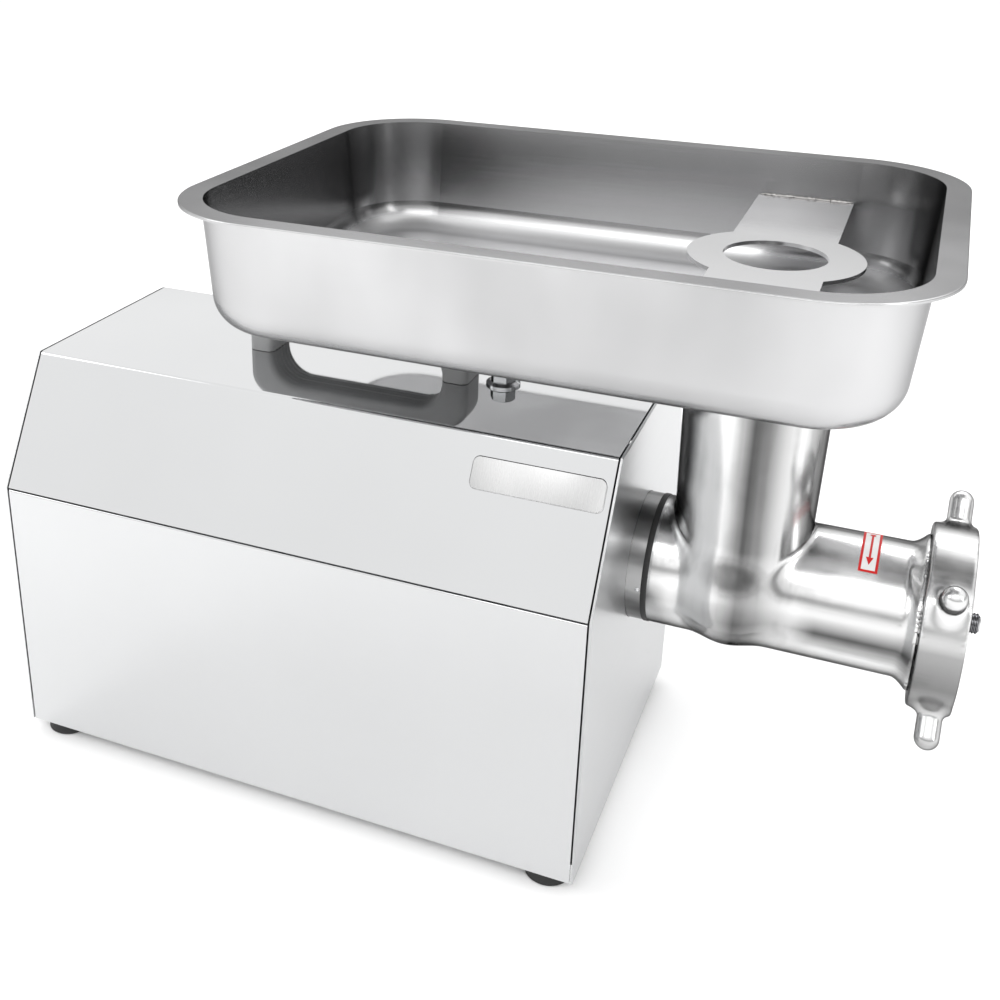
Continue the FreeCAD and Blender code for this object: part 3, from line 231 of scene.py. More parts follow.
def tray_steel(name, colour, roughness):
    """Brushed tray sheet: bright outside, satin on its floor with painted light, and painted shade inside
    towards the two ends.
    """
    n = Nodes(name)
    lines = n.noise(grain_scale("x"), detail=3.0, roughness=0.6)
    clouds = n.noise((9.0, 9.0, 5.0), detail=3.0)
    shade = n.ramp(clouds, [(0.34, scaled(colour, 0.78)), (0.66, scaled(colour, 1.10))])
    shade = n.mix(n.spread(lines, 0.0, 0.24), shade, tinted(colour, 0.84))
    sideways = n.vector("MULTIPLY", n.vector("SUBTRACT", n.place, TRAY_MIDDLE), (1.0, 1.0, 0.0))
    inward = n.share(n.vector("DOT_PRODUCT", sideways, n.normal), *FACES_INWARD)
    near_end = n.share(n.maths("ABSOLUTE", n.parts(sideways)[0]), *NEAR_END)
    # painted shade: the inward-facing walls darker towards the two ends
    painted_end_shade = n.mix(near_end, tinted(colour, 0.88), tinted(colour, 0.34))
    walls = n.mix(inward, shade, painted_end_shade)
    upward = n.share(n.parts(n.normal)[2], *FACES_UP)
    below_lip = n.share(n.parts(n.place)[2], *BELOW_LIP)
    floor = n.maths("MULTIPLY", upward, below_lip)
    gloss = n.spread(lines, roughness - 0.05, roughness + 0.06)
    # painted light: the tray's floor 1.55 times brighter than the rest of the sheet
    n.set(Base_Color=n.mix(floor, walls, tinted(colour, 1.55)), Metallic=1.0)
    n.set(Roughness=n.mix(floor, gloss, grey(0.42)), Specular_Tint=grey(TRAY_EDGE_TINT))
    n.set(Normal=n.bump(lines, 0.12, LINE_DEPTH))
    return n.material


# Painted reflections, in light and dark bands round each tube, as (place, brightness of the metal).  Round
# the neck the place runs from 0 at the outlet side to 1 at the motor side; round the barrel, from the
# bottom to the top.
NECK_PAINTED_REFLECTIONS = [(0.0, 0.7), (0.12, 0.3), (0.25, 0.85), (0.38, 0.3), (0.46, 0.12), (0.56, 0.85), (0.72, 0.95),
              (0.88, 0.35), (1.0, 0.6)]
BARREL_PAINTED_REFLECTIONS = [(0.0, 0.6), (0.35, 0.9), (0.46, 0.15), (0.55, 0.7), (0.66, 0.9), (1.0, 0.8)]
NUT_PAINTED_REFLECTIONS = [(0.0, 0.45), (0.25, 0.6), (0.4, 0.25), (0.54, 0.35), (0.6, 0.8), (1.0, 0.8)]


def turn_share(n, across, towards):
    """Place round an axis: 0 where the surface looks towards, 1 where it looks the opposite way."""
    angle = n.maths("ARCTAN2", n.maths("ABSOLUTE", across), towards)
    return n.maths("DIVIDE", angle, math.pi)


def cast_steel(name, roughness, painted_bands_round_axis):
    """Polished casting: painted reflection bands round each tube, painted streaks that stand in for
    reflections, and grit.

    The mesh's "upright" value, stored by mark_upright, blends the barrel's painted bands into the neck's.
    """
    n = Nodes(name)
    upright = n.add("ShaderNodeAttribute", attribute_name="upright").outputs["Fac"]
    x, y, z = n.parts(n.vector("SUBTRACT", n.place, (NECK_X * MM, 0.0, AXIS_Z * MM)))
    # painted reflections: light and dark bands by the angle round the neck and round the barrel's axis
    neck_painted_bands = n.ramp(turn_share(n, y, x), NECK_PAINTED_REFLECTIONS)
    axis_painted_bands = n.ramp(turn_share(n, y, n.maths("MULTIPLY", z, -1.0)), painted_bands_round_axis)
    painted_reflection_tone = n.mix(upright, axis_painted_bands, neck_painted_bands)
    # painted streaks along the barrel and down the neck, standing in for reflections, mixed with random
    # blotches
    along_barrel = n.noise((5.0, 70.0, 70.0), detail=3.0)
    down_neck = n.noise((85.0, 85.0, 4.0), detail=3.0)
    blotches = n.noise((26.0, 26.0, 26.0), detail=4.0)
    painted_streaks_and_blotches = n.mix(0.35, n.mix(upright, along_barrel, down_neck), blotches)
    painted_streaks_and_blotches = n.ramp(painted_streaks_and_blotches, [(0.36, 0.62), (0.5, 0.95), (0.64, 1.0)])
    grit = n.noise((1300.0, 1300.0, 1300.0), detail=2.0)
    dents = n.noise((48.0, 48.0, 30.0), detail=2.0)
    n.set(Base_Color=n.mix(1.0, painted_reflection_tone, painted_streaks_and_blotches, "MULTIPLY"), Metallic=1.0, Specular_Tint=grey(EDGE_TINT))
    n.set(Roughness=n.spread(blotches, roughness - 0.06, roughness + 0.10))
    n.set(Normal=n.bump(dents, 0.35, 0.0004, n.bump(grit, 0.08, 0.00003)))
    return n.material


def plastic(name, colour, roughness, grain=900.0, depth=0.00006):
    """Moulded plastic with a fine spark-eroded grain."""
    n = Nodes(name)
    skin = n.noise((grain, grain, grain), detail=2.0)
    clouds = n.noise((30.0, 30.0, 30.0), detail=3.0)
    shade = n.mix(n.spread(clouds, 0.0, 1.0), tinted(colour, 0.8), tinted(colour, 1.1))
    n.set(Base_Color=shade, Roughness=n.spread(clouds, roughness - 0.04, roughness + 0.05))
    n.set(Normal=n.bump(skin, 0.3, depth))
    return n.material


def plain_metal(name, colour, roughness):
    n = Nodes(name)
    clouds = n.noise((60.0, 60.0, 60.0), detail=3.0)
    grit = n.noise((900.0, 900.0, 900.0), detail=2.0)
    shade = n.mix(n.spread(clouds, 0.0, 1.0), tinted(colour, 0.82), tinted(colour, 1.05))
    n.set(Base_Color=shade, Metallic=1.0, Roughness=n.spread(clouds, roughness - 0.05, roughness + 0.05))
    n.set(Normal=n.bump(grit, 0.1, 0.00003), Specular_Tint=grey(EDGE_TINT))
    return n.material


def collar_steel(name):
    """Turned collar: rings of tool marks, and darker and lighter bands from a noise."""
    n = Nodes(name)
    rings = n.noise((2400.0, 40.0, 40.0), detail=2.0)
    bands = n.noise((8.0, 34.0, 34.0), detail=3.0)
    shade = n.ramp(bands, [(0.36, 0.08), (0.5, 0.24), (0.62, 0.48)])
    n.set(Base_Color=shade, Metallic=1.0, Roughness=n.spread(bands, 0.22, 0.38))
    n.set(Normal=n.bump(rings, 0.15, 0.00004))
    return n.material


def plate_steel(name):
    """Nameplate: satin sheet, lighter and darker in broad patches, with fine crosswise lines."""
    n = Nodes(name)
    lines = n.noise((2600.0, 16.0, 16.0), detail=2.0)
    wide = n.noise((16.0, 9.0, 9.0), detail=1.0)
    shade = n.ramp(wide, [(0.34, 0.32), (0.5, 0.52), (0.66, 0.78)])
    n.set(Base_Color=shade, Metallic=1.0, Roughness=n.spread(lines, 0.20, 0.32))
    n.set(Normal=n.bump(lines, 0.12, LINE_DEPTH))
    return n.material


def make_materials():
    return {
        "case": steel("case_steel_look", (0.655, 0.66, 0.665), 0.10, line=0.02, stain=0.04, wave=0.0001),
        # painted shade: the end panels are the case's steel with a darker base colour, also rougher and
        # brushed along y
        "end": steel("end_panel_shaded_look", (0.55, 0.555, 0.56), 0.30, along="y", line=0.04, stain=0.03),
        "mirror": steel("cover_steel_look", (0.61, 0.615, 0.62), 0.045, line=0.012, cloud=0.01,
                        wave=0.00008),
        "tray": tray_steel("tray_steel_look", (0.57, 0.57, 0.575), 0.22),
        "guard": steel("guard_steel_look", (0.60, 0.60, 0.605), 0.20, line=0.05, stain=0.06),
        # the head and the ring nut carry painted reflection bands round their tubes
        "cast": cast_steel("head_steel_look", 0.17, BARREL_PAINTED_REFLECTIONS),
        "nut": cast_steel("nut_steel_look", 0.22, NUT_PAINTED_REFLECTIONS),
        "collar": collar_steel("collar_look"),
        "zinc": plain_metal("zinc_look", (0.70, 0.71, 0.72), 0.18),
        "ground": plain_metal("ground_steel_look", (0.60, 0.60, 0.61), 0.22),
        "aluminium": plain_metal("cast_aluminium_look", (0.62, 0.63, 0.64), 0.45),
        "lamination": plain_metal("lamination_look", (0.30, 0.30, 0.31), 0.45),
        "copper": plain_metal("copper_look", (0.58, 0.26, 0.12), 0.35),
        "bronze": plain_metal("bronze_look", (0.60, 0.40, 0.18), 0.35),
        "plate": plate_steel("nameplate_look"),
        "stud": plain_metal("stud_look", (0.20, 0.20, 0.21), 0.25),
        "weld": plain_metal("weld_look", (0.42, 0.41, 0.40), 0.30),
        "handle": plastic("handle_look", (0.33, 0.332, 0.335), 0.42),
        "black": plastic("black_plastic_look", (0.012, 0.012, 0.013), 0.45),
        "rubber": plastic("rubber_look", (0.014, 0.014, 0.014), 0.6, grain=1400.0),
        "green": plastic("green_button_look", (0.004, 0.15, 0.03), 0.3),
        "red": plastic("red_button_look", (0.34, 0.006, 0.005), 0.3),
        "white": plastic("capacitor_look", (0.75, 0.75, 0.72), 0.5),
        "sticker": plastic("sticker_look", (0.80, 0.80, 0.79), 0.35, grain=500.0, depth=0.00001),
        "sticker_red": plastic("sticker_red_look", (0.58, 0.0, 0.0), 0.6, grain=500.0, depth=0.00001),
    }


NODE_LOOKS = {
    "mirror": ("upper_cover",),
    "case": ("side_panel_right", "side_panel_left", "base_plate"),
    "tray": ("tray_pan", "tray_spigot"),
    "guard": ("feed_guard",),
    "end": ("end_panel_front", "end_panel_rear"),
    "collar": ("head_collar",),
    "zinc": ("foot_screws", "rear_screws", "rear_screw_nuts", "handle_screws", "cover_bolt",
             "motor_tie_bolts", "gearbox_bolts", "collar_bolts", "capacitor_clip", "head_lock_screw",
             "locating_pin"),
    "ground": ("auger", "cutter_knife", "grinder_plate", "motor_shaft", "countershaft", "output_shaft",
               "motor_bearings", "gearbox_bearings", "motor_pinion", "countershaft_gear",
               "countershaft_pinion", "output_gear"),
    "aluminium": ("motor_rear_bell", "motor_front_bell", "motor_cradle", "gearbox_housing",
                  "gearbox_cover"),
    "lamination": ("motor_stator", "rotor_core"),
    "copper": ("stator_windings",),
    "bronze": ("auger_bush",),
    "plate": ("nameplate",),
    "black": ("cable_gland", "gland_nut", "switch_box", "cooling_fan"),
    "rubber": ("feet", "oil_seal"),
    "green": ("start_button",),
    "red": ("stop_button",),
    "white": ("run_capacitor",),
}


def dress_nodes(looks):
    for look, nodes in NODE_LOOKS.items():
        for node in nodes:
            data = NODES[node].data
            data.materials.clear()
            data.materials.append(looks[look])


# ---------------------------------------------------------------- cast shapes from distance functions
def smooth_min(a, b, blend):
    """Union of two distances with a fillet about as wide as blend."""
    share = np.clip(0.5 + 0.5 * (b - a) / blend, 0.0, 1.0)
    return b + (a - b) * share - blend * share * (1.0 - share)


def smooth_max(a, b, blend):
    return -smooth_min(-a, -b, blend)


def slab(value, low, high):
    """Distance to the range low to high, negative inside."""
    return np.maximum(low - value, value - high)


def cylinder(across, along, radius, start, end):
    """Distance to a cylinder, from the distances across and along its axis."""
    return np.maximum(across - radius, slab(along, start, end))


def surface_net(distance, low, high, cell):
    """Points and quads on a distance function's zero surface, one point to a crossed cell."""
    low = np.array(low, float)
    counts = np.ceil((np.array(high) - low) / cell).astype(int) + 1
    axes = [low[i] + cell * np.arange(counts[i]) for i in range(3)]
    inside = distance(*np.meshgrid(*axes, indexing="ij")) < 0
    total = np.zeros(counts - 1, int)
    for i, j, k in itertools.product((0, 1), repeat=3):
        total += inside[i:counts[0] - 1 + i, j:counts[1] - 1 + j, k:counts[2] - 1 + k]
    crossed = (total > 0) & (total < 8)
    number = np.full(counts - 1, -1)
    number[crossed] = np.arange(crossed.sum())
    faces = []
    for axis in range(3):
        solid = np.moveaxis(inside, axis, 0)[:, 1:-1, 1:-1]
        cells = np.moveaxis(number, axis, 0)
        change = solid[:-1] != solid[1:]
        around = [cells[:, :-1, :-1], cells[:, 1:, :-1], cells[:, 1:, 1:], cells[:, :-1, 1:]]
        quads = np.stack([corner[change] for corner in around], 1)
        outward = solid[:-1][change]
        reverse = outward if axis == 1 else ~outward
        quads[reverse] = quads[reverse][:, ::-1]
        faces.append(quads)
    points = low + (np.argwhere(crossed) + 0.5) * cell
    return settle(distance, points, cell), np.concatenate(faces)


def settle(distance, points, cell):
    """Move points along the gradient onto the zero surface."""
    step = cell * 0.04
    for _ in range(7):
        slopes = []
        for direction in np.eye(3):
            ahead = distance(*(points + step * direction).T)
            behind = distance(*(points - step * direction).T)
            slopes.append((ahead - behind) / (2 * step))
        gradient = np.stack(slopes, 1)
        length = np.maximum((gradient ** 2).sum(1), 0.05)
        move = gradient * (distance(*points.T) / length)[:, None]
        points = points - np.clip(move, -0.5 * cell, 0.5 * cell)
    return points


def link_mesh(name, points, faces, look, body, sharp=35.0):
    """New piece from points in millimetres."""
    mesh = bpy.data.meshes.new(name)
    mesh.from_pydata((np.array(points) * MM).tolist(), [], [list(map(int, face)) for face in faces])
    mesh.validate()
    work = bmesh.new()
    work.from_mesh(mesh)
    bmesh.ops.recalc_face_normals(work, faces=work.faces[:])
    work.to_mesh(mesh)
    work.free()
    mesh.polygons.foreach_set("use_smooth", [True] * len(mesh.polygons))
    mesh.set_sharp_from_angle(angle=math.radians(sharp))
    mesh.materials.append(look)
    piece = bpy.data.objects.new(name, mesh)
    bpy.context.scene.collection.objects.link(piece)
    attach(piece, body)
    return piece


def mark_upright(piece, weight):
    """Store how far each point belongs to an upright tube, for the casting's painted reflection bands and
    streaks.
    """
    attribute = piece.data.attributes.new("upright", "FLOAT", "POINT")
    attribute.data.foreach_set("value", np.asarray(weight, float))


NECK_TOP = 298.3
NECK_RADII = (36.2, 39.2)    # at the barrel's axis and at the top
EGG_MIDDLE_Z = 158.5
EGG_SIZES = (35.5, 45.5, 39.0)
EGG_BLEND = 9.0              # fillet between the neck and the swelling under it
CROSSING_BLEND = 4.0         # fillet between them and the barrel
NUT_REAR = 245.3
NUT_FRONT = 267.5
BARREL_START = 104.55
FLARE_START = 236.0
FLARE_END = NUT_REAR - 0.9
FLARE_RADIUS = 42.6
# along the barrel's axis, as (radius, start, end)
THREAD = (41.0, 243.0, 258.0)
SPIGOT = (29.0, 92.5, 110.0)
AUGER_BORE = (28.0, 118.0, 242.0)
PLATE_SEAT = (35.15, 240.0, 262.0)
BUSH_BORE = (14.02, 99.0, 120.0)
SHAFT_BORE = (17.0, 88.0, 102.0)
# down the neck's axis; both run out through its top
FEED_BORE = (26.0, AXIS_Z, NECK_TOP + 2.0)
TRAY_SEAT = (31.3, NECK_TOP - 21.5, NECK_TOP + 2.0)
BORE_EDGE = 0.6              # rounding of the bores' rims


def neck_distance(x, y, z):
    slope = (NECK_RADII[1] - NECK_RADII[0]) / (NECK_TOP - AXIS_Z)
    radius = NECK_RADII[0] + slope * (np.maximum(z, AXIS_Z) - AXIS_Z)
    side = np.hypot(x - NECK_X, y) - radius
    return smooth_max(side, slab(z, AXIS_Z - 6.0, NECK_TOP), 1.2)


def egg_distance(x, y, z):
    """Egg-shaped swelling under the neck."""
    offsets = (x - NECK_X, y, z - EGG_MIDDLE_Z)
    first = np.sqrt(sum((o / s) ** 2 for o, s in zip(offsets, EGG_SIZES)))
    second = np.sqrt(sum((o / s ** 2) ** 2 for o, s in zip(offsets, EGG_SIZES)))
    return first * (first - 1.0) / np.maximum(second, 1e-6)


def barrel_distance(x, y, z):
    """Tube from the collar to the thread, with a flare behind the ring nut."""
    across = np.hypot(y, z - AXIS_Z)
    rise = np.clip((x - FLARE_START) / (FLARE_END - FLARE_START), 0.0, 1.0)
    flare = (FLARE_RADIUS - BARREL_RADIUS) * rise ** 1.6
    tube = smooth_max(across - BARREL_RADIUS - flare, slab(x, BARREL_START, NUT_REAR - 0.35), 2.6)
    return np.minimum(np.minimum(tube, cylinder(across, x, *THREAD)), cylinder(across, x, *SPIGOT))


def head_distance(x, y, z):
    upright = smooth_min(neck_distance(x, y, z), egg_distance(x, y, z), EGG_BLEND)
    outside = smooth_min(barrel_distance(x, y, z), upright, CROSSING_BLEND)
    from_axis = np.hypot(y, z - AXIS_Z)
    from_neck = np.hypot(x - NECK_X, y)
    for bore in (AUGER_BORE, PLATE_SEAT, BUSH_BORE, SHAFT_BORE):
        outside = smooth_max(outside, -cylinder(from_axis, x, *bore), BORE_EDGE)
    for bore in (FEED_BORE, TRAY_SEAT):
        outside = smooth_max(outside, -cylinder(from_neck, z, *bore), BORE_EDGE)
    return outside


def make_head(looks):
    points, faces = surface_net(head_distance, low=(90.0, -50.0, 110.0), high=(261.0, 50.0, 302.0),
                                cell=1.25)
    head = link_mesh("head_body", points, faces, looks["cast"], "head", sharp=60.0)
    lowest, fade = AXIS_Z + 4.0, 30.0
    reach, side_fade = NECK_RADII[0] + 10.0, 14.0
    above = np.clip((points[:, 2] - lowest) / fade, 0.0, 1.0)
    beside = np.clip((reach - np.abs(points[:, 0] - NECK_X)) / side_fade, 0.0, 1.0)
    mark_upright(head, beside * np.maximum(above, 0.75))
    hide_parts("head_casting")


NUT_RADIUS = 49.0
NUT_THREAD_RADIUS = 41.25
NUT_THREAD_END = 258.5
MOUTH_RADIUS = 31.0          # opening in the nut's front
MOUTH_FLARE = 264.5          # where the opening starts to widen
PEG_X = 257.8
PEG_RADIUS = 6.2
PEG_TIP = 69.5               # from the axis to a peg's end
PEG_ANGLES = (39.0, 129.0, 219.0, 309.0)
LOBE_RADIUS = 8.6            # swelling at the foot of a peg
LOBE_OUT = 44.0


def nut_distance(x, y, z):
    """Ring nut with four cast pegs; each peg swells out of the rim."""
    up = z - AXIS_Z
    across = np.hypot(y, up)
    ring = smooth_max(across - NUT_RADIUS, slab(x, NUT_REAR, NUT_FRONT), 1.9)
    for angle in PEG_ANGLES:
        turn = math.radians(angle)
        out = -y * math.cos(turn) + up * math.sin(turn)
        side = np.hypot(x - PEG_X, y * math.sin(turn) + up * math.cos(turn))
        along = np.clip(out, 40.0, PEG_TIP - PEG_RADIUS)
        peg = np.hypot(side, out - along) - PEG_RADIUS
        lobe = np.hypot(side * 0.8, (out - LOBE_OUT) * 1.1) - LOBE_RADIUS
        ring = smooth_min(ring, smooth_min(peg, lobe, 3.0), 4.0)
    ring = smooth_max(ring, x - NUT_FRONT, 1.0)
    ring = smooth_max(ring, -np.maximum(across - NUT_THREAD_RADIUS, x - NUT_THREAD_END), 0.4)
    mouth = across - MOUTH_RADIUS - np.clip(x - MOUTH_FLARE, 0.0, 5.0)
    return smooth_max(ring, -mouth, 0.8)


def make_nut(looks):
    points, faces = surface_net(nut_distance, low=(243.0, -72.0, 85.0), high=(270.0, 72.0, 229.0),
                                cell=1.0)
    nut = link_mesh("ring_nut_body", points, faces, looks["nut"], "nut")
    mark_upright(nut, np.zeros(len(points)))
    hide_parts("ring_nut")


HANDLE_X = -80.5         # middle of the handle
HANDLE_FOOT = 247.5      # the case's top
HANDLE_HALF_DEPTH = 12.5
RIB_DEPTH = 0.45
RIB_PITCH = 3.6
RIB_REACH = 9.0          # the ribs stop this far from the grip's middle


def arch_distance(x, rise, half_length, height, corner):
    """Distance to a rectangle standing on the case, whose two upper corners are rounded."""
    beside = np.abs(x - HANDLE_X) - half_length + corner
    above = rise - height + corner
    outside = np.hypot(np.maximum(beside, 0.0), np.maximum(above, 0.0)) - corner
    return outside + np.minimum(np.maximum(beside, above), 0.0)


def handle_distance(x, y, z):
    """Carry handle with a finger gap; shallow ribs run along the inside of the grip."""
    rise = z - HANDLE_FOOT
    ribs = RIB_DEPTH * np.cos(y * (TAU / RIB_PITCH)) * (np.abs(y) < RIB_REACH)
    outer = arch_distance(x, rise, half_length=70.5, height=30.0, corner=15.0)
    gap = arch_distance(x, rise, half_length=54.5, height=19.0, corner=17.0) - ribs
    grip = smooth_max(smooth_max(outer, -gap, 3.0), np.abs(y) - HANDLE_HALF_DEPTH, 5.0)
    return np.maximum(grip, -rise + 0.02)


def make_handle(looks):
    points, faces = surface_net(handle_distance, low=(-153.0, -14.5, 245.0), high=(-8.0, 14.5, 280.0),
                                cell=0.8)
    handle = link_mesh("carry_handle_body", points, faces, looks["handle"], "housing")
    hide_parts("carry_handle")


# ---------------------------------------------------------------- small pieces
LABEL_FACET = 1.6        # longest edge left in the label, so that it bends round the barrel


def cylinder_sheet(name, outlines, lift, thickness, look):
    """Thin sheet on the barrel; outlines are (x, arc length from the top towards the right side) in mm."""
    work = bmesh.new()
    for outline in outlines:
        corners = [work.verts.new((x, arc, 0.0)) for x, arc in outline]
        work.faces.new(corners)
    bmesh.ops.triangulate(work, faces=work.faces[:])
    for _ in range(4):
        long_edges = [edge for edge in work.edges if edge.calc_length() > LABEL_FACET]
        if not long_edges:
            break
        bmesh.ops.subdivide_edges(work, edges=long_edges, cuts=1)
        bmesh.ops.triangulate(work, faces=work.faces[:])
    inner = BARREL_RADIUS + lift
    base = work.faces[:]
    top = bmesh.ops.extrude_face_region(work, geom=base)
    raised = {item for item in top["geom"] if isinstance(item, bmesh.types.BMVert)}
    for vert in work.verts:
        radius = inner + (thickness if vert in raised else 0.0)
        angle = vert.co.y / BARREL_RADIUS
        vert.co = (vert.co.x, -radius * math.sin(angle), AXIS_Z + radius * math.cos(angle))
    bmesh.ops.recalc_face_normals(work, faces=work.faces[:])
    work.verts.index_update()
    points = [vert.co[:] for vert in work.verts]
    faces = [[vert.index for vert in face.verts] for face in work.faces]
    work.free()
    return link_mesh(name, points, faces, look, "head")


def make_direction_label(looks):
    """White strip with a red frame and a plain arrow, round the top of the barrel."""
    x0, x1 = 211.8, 221.4
    start, end = -12.5, 23.4
    line = 1.3
    half_shaft, half_tip = 0.55, 1.9
    middle = (x0 + x1) / 2
    arrow_start, neck, tip = start + 5.5, end - 9.2, end - 4.4
    cylinder_sheet("direction_label", [[(x0, start), (x1, start), (x1, end), (x0, end)]], 0.06, 0.12,
                   looks["sticker"])
    disc_radius, disc_corners = 1.5, 16
    disc = []
    for i in range(disc_corners):
        angle = TAU * i / disc_corners
        disc.append((middle + disc_radius * math.cos(angle), arrow_start + disc_radius * math.sin(angle)))
    marks = [
        [(x0, start), (x0 + line, start), (x0 + line, end), (x0, end)],
        [(x1 - line, start), (x1, start), (x1, end), (x1 - line, end)],
        [(x0 + line, end - line), (x1 - line, end - line), (x1 - line, end), (x0 + line, end)],
        [(x0 + line, start), (x1 - line, start), (x1 - line, start + line), (x0 + line, start + line)],
        [(middle - half_shaft, arrow_start + disc_radius), (middle + half_shaft, arrow_start + disc_radius),
         (middle + half_shaft, neck), (middle - half_shaft, neck)],
        [(middle - half_tip, neck), (middle + half_tip, neck), (middle, tip)],
        disc,
    ]
    cylinder_sheet("direction_mark", marks, 0.18, 0.10, looks["sticker_red"])


def ring_faces(steps, sides):
    """Quads between steps + 1 rings of sides points each."""
    faces = []
    for i in range(steps):
        for j in range(sides):
            a, b = i * sides + j, i * sides + (j + 1) % sides
            faces.append((a, b, b + sides, a + sides))
    return faces


def make_weld(name, start, end, radius, look, seed):
    """Lumpy weld bead between two points, in mm."""
    random = np.random.RandomState(seed)
    start, end = np.array(start, float), np.array(end, float)
    steps, sides = 70, 10
    along = (end - start) / np.linalg.norm(end - start)
    up = np.array((0.0, 0.0, 1.0))
    across = np.cross(along, up)
    points = []
    for i in range(steps + 1):
        share = i / steps
        swell = radius * (0.75 + 0.25 * abs(math.sin(share * 16 * math.pi))) * (1 + 0.12 * random.randn())
        swell *= min(1.0, 8 * share + 0.2, 8 * (1 - share) + 0.2)
        centre = start + (end - start) * share + up * 0.1 * random.randn()
        for j in range(sides):
            angle = TAU * j / sides
            points.append(centre + swell * (0.9 * math.cos(angle) * across + 0.8 * math.sin(angle) * up))
    faces = ring_faces(steps, sides)
    faces.append(tuple(range(sides))[::-1])
    faces.append(tuple(steps * sides + j for j in range(sides)))
    link_mesh(name, points, faces, look, "tray")


def turned(profile, segments=48):
    """Points and faces of a closed profile of (x, radius), in mm, turned about the barrel's axis."""
    points, faces = [], []
    count = len(profile)
    for i in range(segments):
        angle = TAU * i / segments
        for x, radius in profile:
            points.append((x, radius * math.cos(angle), AXIS_Z + radius * math.sin(angle)))
    for i in range(segments):
        a, b = i * count, (i + 1) % segments * count
        for j in range(count - 1):
            faces.append((a + j, a + j + 1, b + j + 1, b + j))
        faces.append((a + count - 1, a, b, b + count - 1))
    return points, faces


def make_stud_thread(looks):
    """Last turns of thread on the auger's stud, with a dark ring behind them."""
    start, end, inner, outer, pitch = 268.2, 274.8, 4.45, 5.5, 1.5
    profile = [(start, inner)]
    x = start
    while x + pitch <= end:
        profile += [(x + 0.15, outer - 0.5), (x + 0.5, outer), (x + 0.8, outer), (x + 1.15, outer - 0.5)]
        x += pitch
    profile.append((x, inner))
    points, faces = turned(profile)
    link_mesh("stud_thread", points, faces, looks["stud"], "auger_set")
    ring = [(266.6, inner), (266.6, 6.3), (267.0, 6.7), (267.9, 6.7), (268.1, 6.3), (268.1, inner)]
    points, faces = turned(ring)
    link_mesh("stud_ring", points, faces, looks["black"], "auger_set")


def make_collar_dot(looks):
    """Head of the small pin that stops the head from turning, on the collar's near side."""
    middle_x, middle_z = 101.6, AXIS_Z - 2.0
    base, radius, height = -BARREL_RADIUS + 0.2, 1.3, 0.9
    rings, sides = 5, 20
    points = []
    for i in range(rings + 1):
        lean = math.pi / 2 * i / rings
        for j in range(sides):
            angle = TAU * j / sides
            points.append((middle_x + radius * math.cos(lean) * math.cos(angle),
                           base - height * math.sin(lean),
                           middle_z + radius * math.cos(lean) * math.sin(angle)))
    faces = ring_faces(rings, sides)
    faces.append(tuple(range(sides))[::-1])
    link_mesh("collar_pin_head", points, faces, looks["zinc"], "housing")


def make_seam_shade_ring(looks):
    """Dark ring in the groove between the collar and the head, put there as painted shade for the seam's
    shadowed gap.
    """
    profile = [(103.4, 35.6), (103.4, 36.5), (103.9, 36.8), (106.1, 36.8), (106.6, 36.5), (106.6, 35.6)]
    points, faces = turned(profile, 96)
    link_mesh("seam_shade_ring", points, faces, looks["rubber"], "housing")


def make_guard_welds(looks):
    """A bead at each end of the guard strip, where it meets the tray's wall."""
    wall, top, half_length, radius, first_seed = 124.4, 342.9, 26.5, 1.2, 11
    for index, side in enumerate((-1, 1)):
        start = (NECK_X - half_length, side * wall, top)
        end = (NECK_X + half_length, side * wall, top)
        make_weld(f"guard_weld_{index}", start, end, radius, looks["weld"], first_seed + index)


# ---------------------------------------------------------------- stage and light
FLOOR_RADIUS = 12.0


def make_floor():
    work = bmesh.new()
    bmesh.ops.create_circle(work, cap_ends=True, radius=FLOOR_RADIUS, segments=96)
    mesh = bpy.data.meshes.new("floor")
    work.to_mesh(mesh)
    work.free()
    floor = bpy.data.objects.new("floor", mesh)
    bpy.context.scene.collection.objects.link(floor)
    n = Nodes("floor_look")
    dust = n.noise((3.0, 3.0, 3.0), detail=2.0)
    n.set(Base_Color=n.mix(dust, grey(0.95), grey(0.97)), Roughness=0.9)
    mesh.materials.append(n.material)


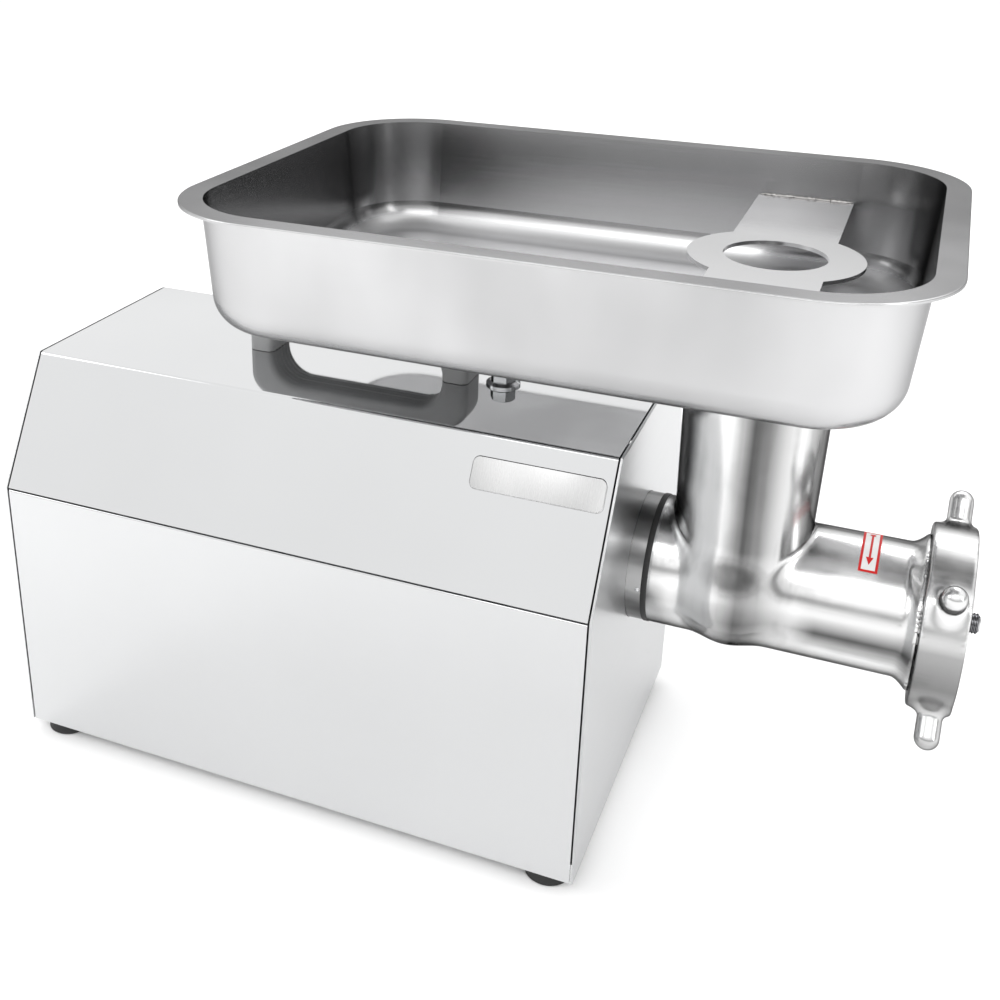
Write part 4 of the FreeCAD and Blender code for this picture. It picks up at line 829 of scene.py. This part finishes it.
# brightness of the studio, against the sine of the angle above the horizon
STUDIO_RAMP = [(0.0, 0.95), (0.05, 0.80), (0.13, 0.30), (0.22, 0.36), (0.33, 0.95), (0.66, 1.0),
               (0.90, 0.95), (0.96, 0.35), (1.0, 0.18)]
STUDIO_STRENGTH = 1.3
LIGHT_TARGET = (0, 0, 0.2)
# name, place, size, power in watts
AREA_LIGHTS = [
    ("front_box", (0.3, -1.7, 2.1), (2.2, 1.0), 14),
    ("back_box", (0.0, 1.9, 2.2), (2.4, 1.0), 22),
    ("left_box", (-2.0, -1.2, 1.5), (0.8, 1.6), 9),
    ("right_box", (2.2, -0.8, 1.2), (0.35, 1.6), 8),
]


def area_light(name, place, size, power):
    data = bpy.data.lights.new(name, "AREA")
    data.shape = "RECTANGLE"
    data.size, data.size_y = size
    data.energy = power
    light = bpy.data.objects.new(name, data)
    bpy.context.scene.collection.objects.link(light)
    light.location = place
    light.rotation_euler = (Vector(LIGHT_TARGET) - Vector(place)).to_track_quat("-Z", "Y").to_euler()


def make_light():
    world = bpy.data.worlds.new("studio")
    bpy.context.scene.world = world
    world.use_nodes = True
    tree = world.node_tree
    background = tree.nodes["Background"]
    coordinates = tree.nodes.new("ShaderNodeTexCoord")
    split = tree.nodes.new("ShaderNodeSeparateXYZ")
    ramp = tree.nodes.new("ShaderNodeValToRGB")
    ramp.color_ramp.interpolation = "EASE"
    fill_ramp(ramp.color_ramp, STUDIO_RAMP)
    tree.links.new(coordinates.outputs["Generated"], split.inputs["Vector"])
    tree.links.new(split.outputs["Z"], ramp.inputs["Fac"])
    tree.links.new(ramp.outputs["Color"], background.inputs["Color"])
    background.inputs["Strength"].default_value = STUDIO_STRENGTH
    for settings in AREA_LIGHTS:
        area_light(*settings)
    bpy.context.scene.view_settings.view_transform = "Standard"


make_camera()
looks = make_materials()
dress_nodes(looks)
make_head(looks)
make_nut(looks)
make_handle(looks)
make_direction_label(looks)
make_guard_welds(looks)
make_stud_thread(looks)
make_collar_dot(looks)
make_seam_shade_ring(looks)
make_floor()
make_light()
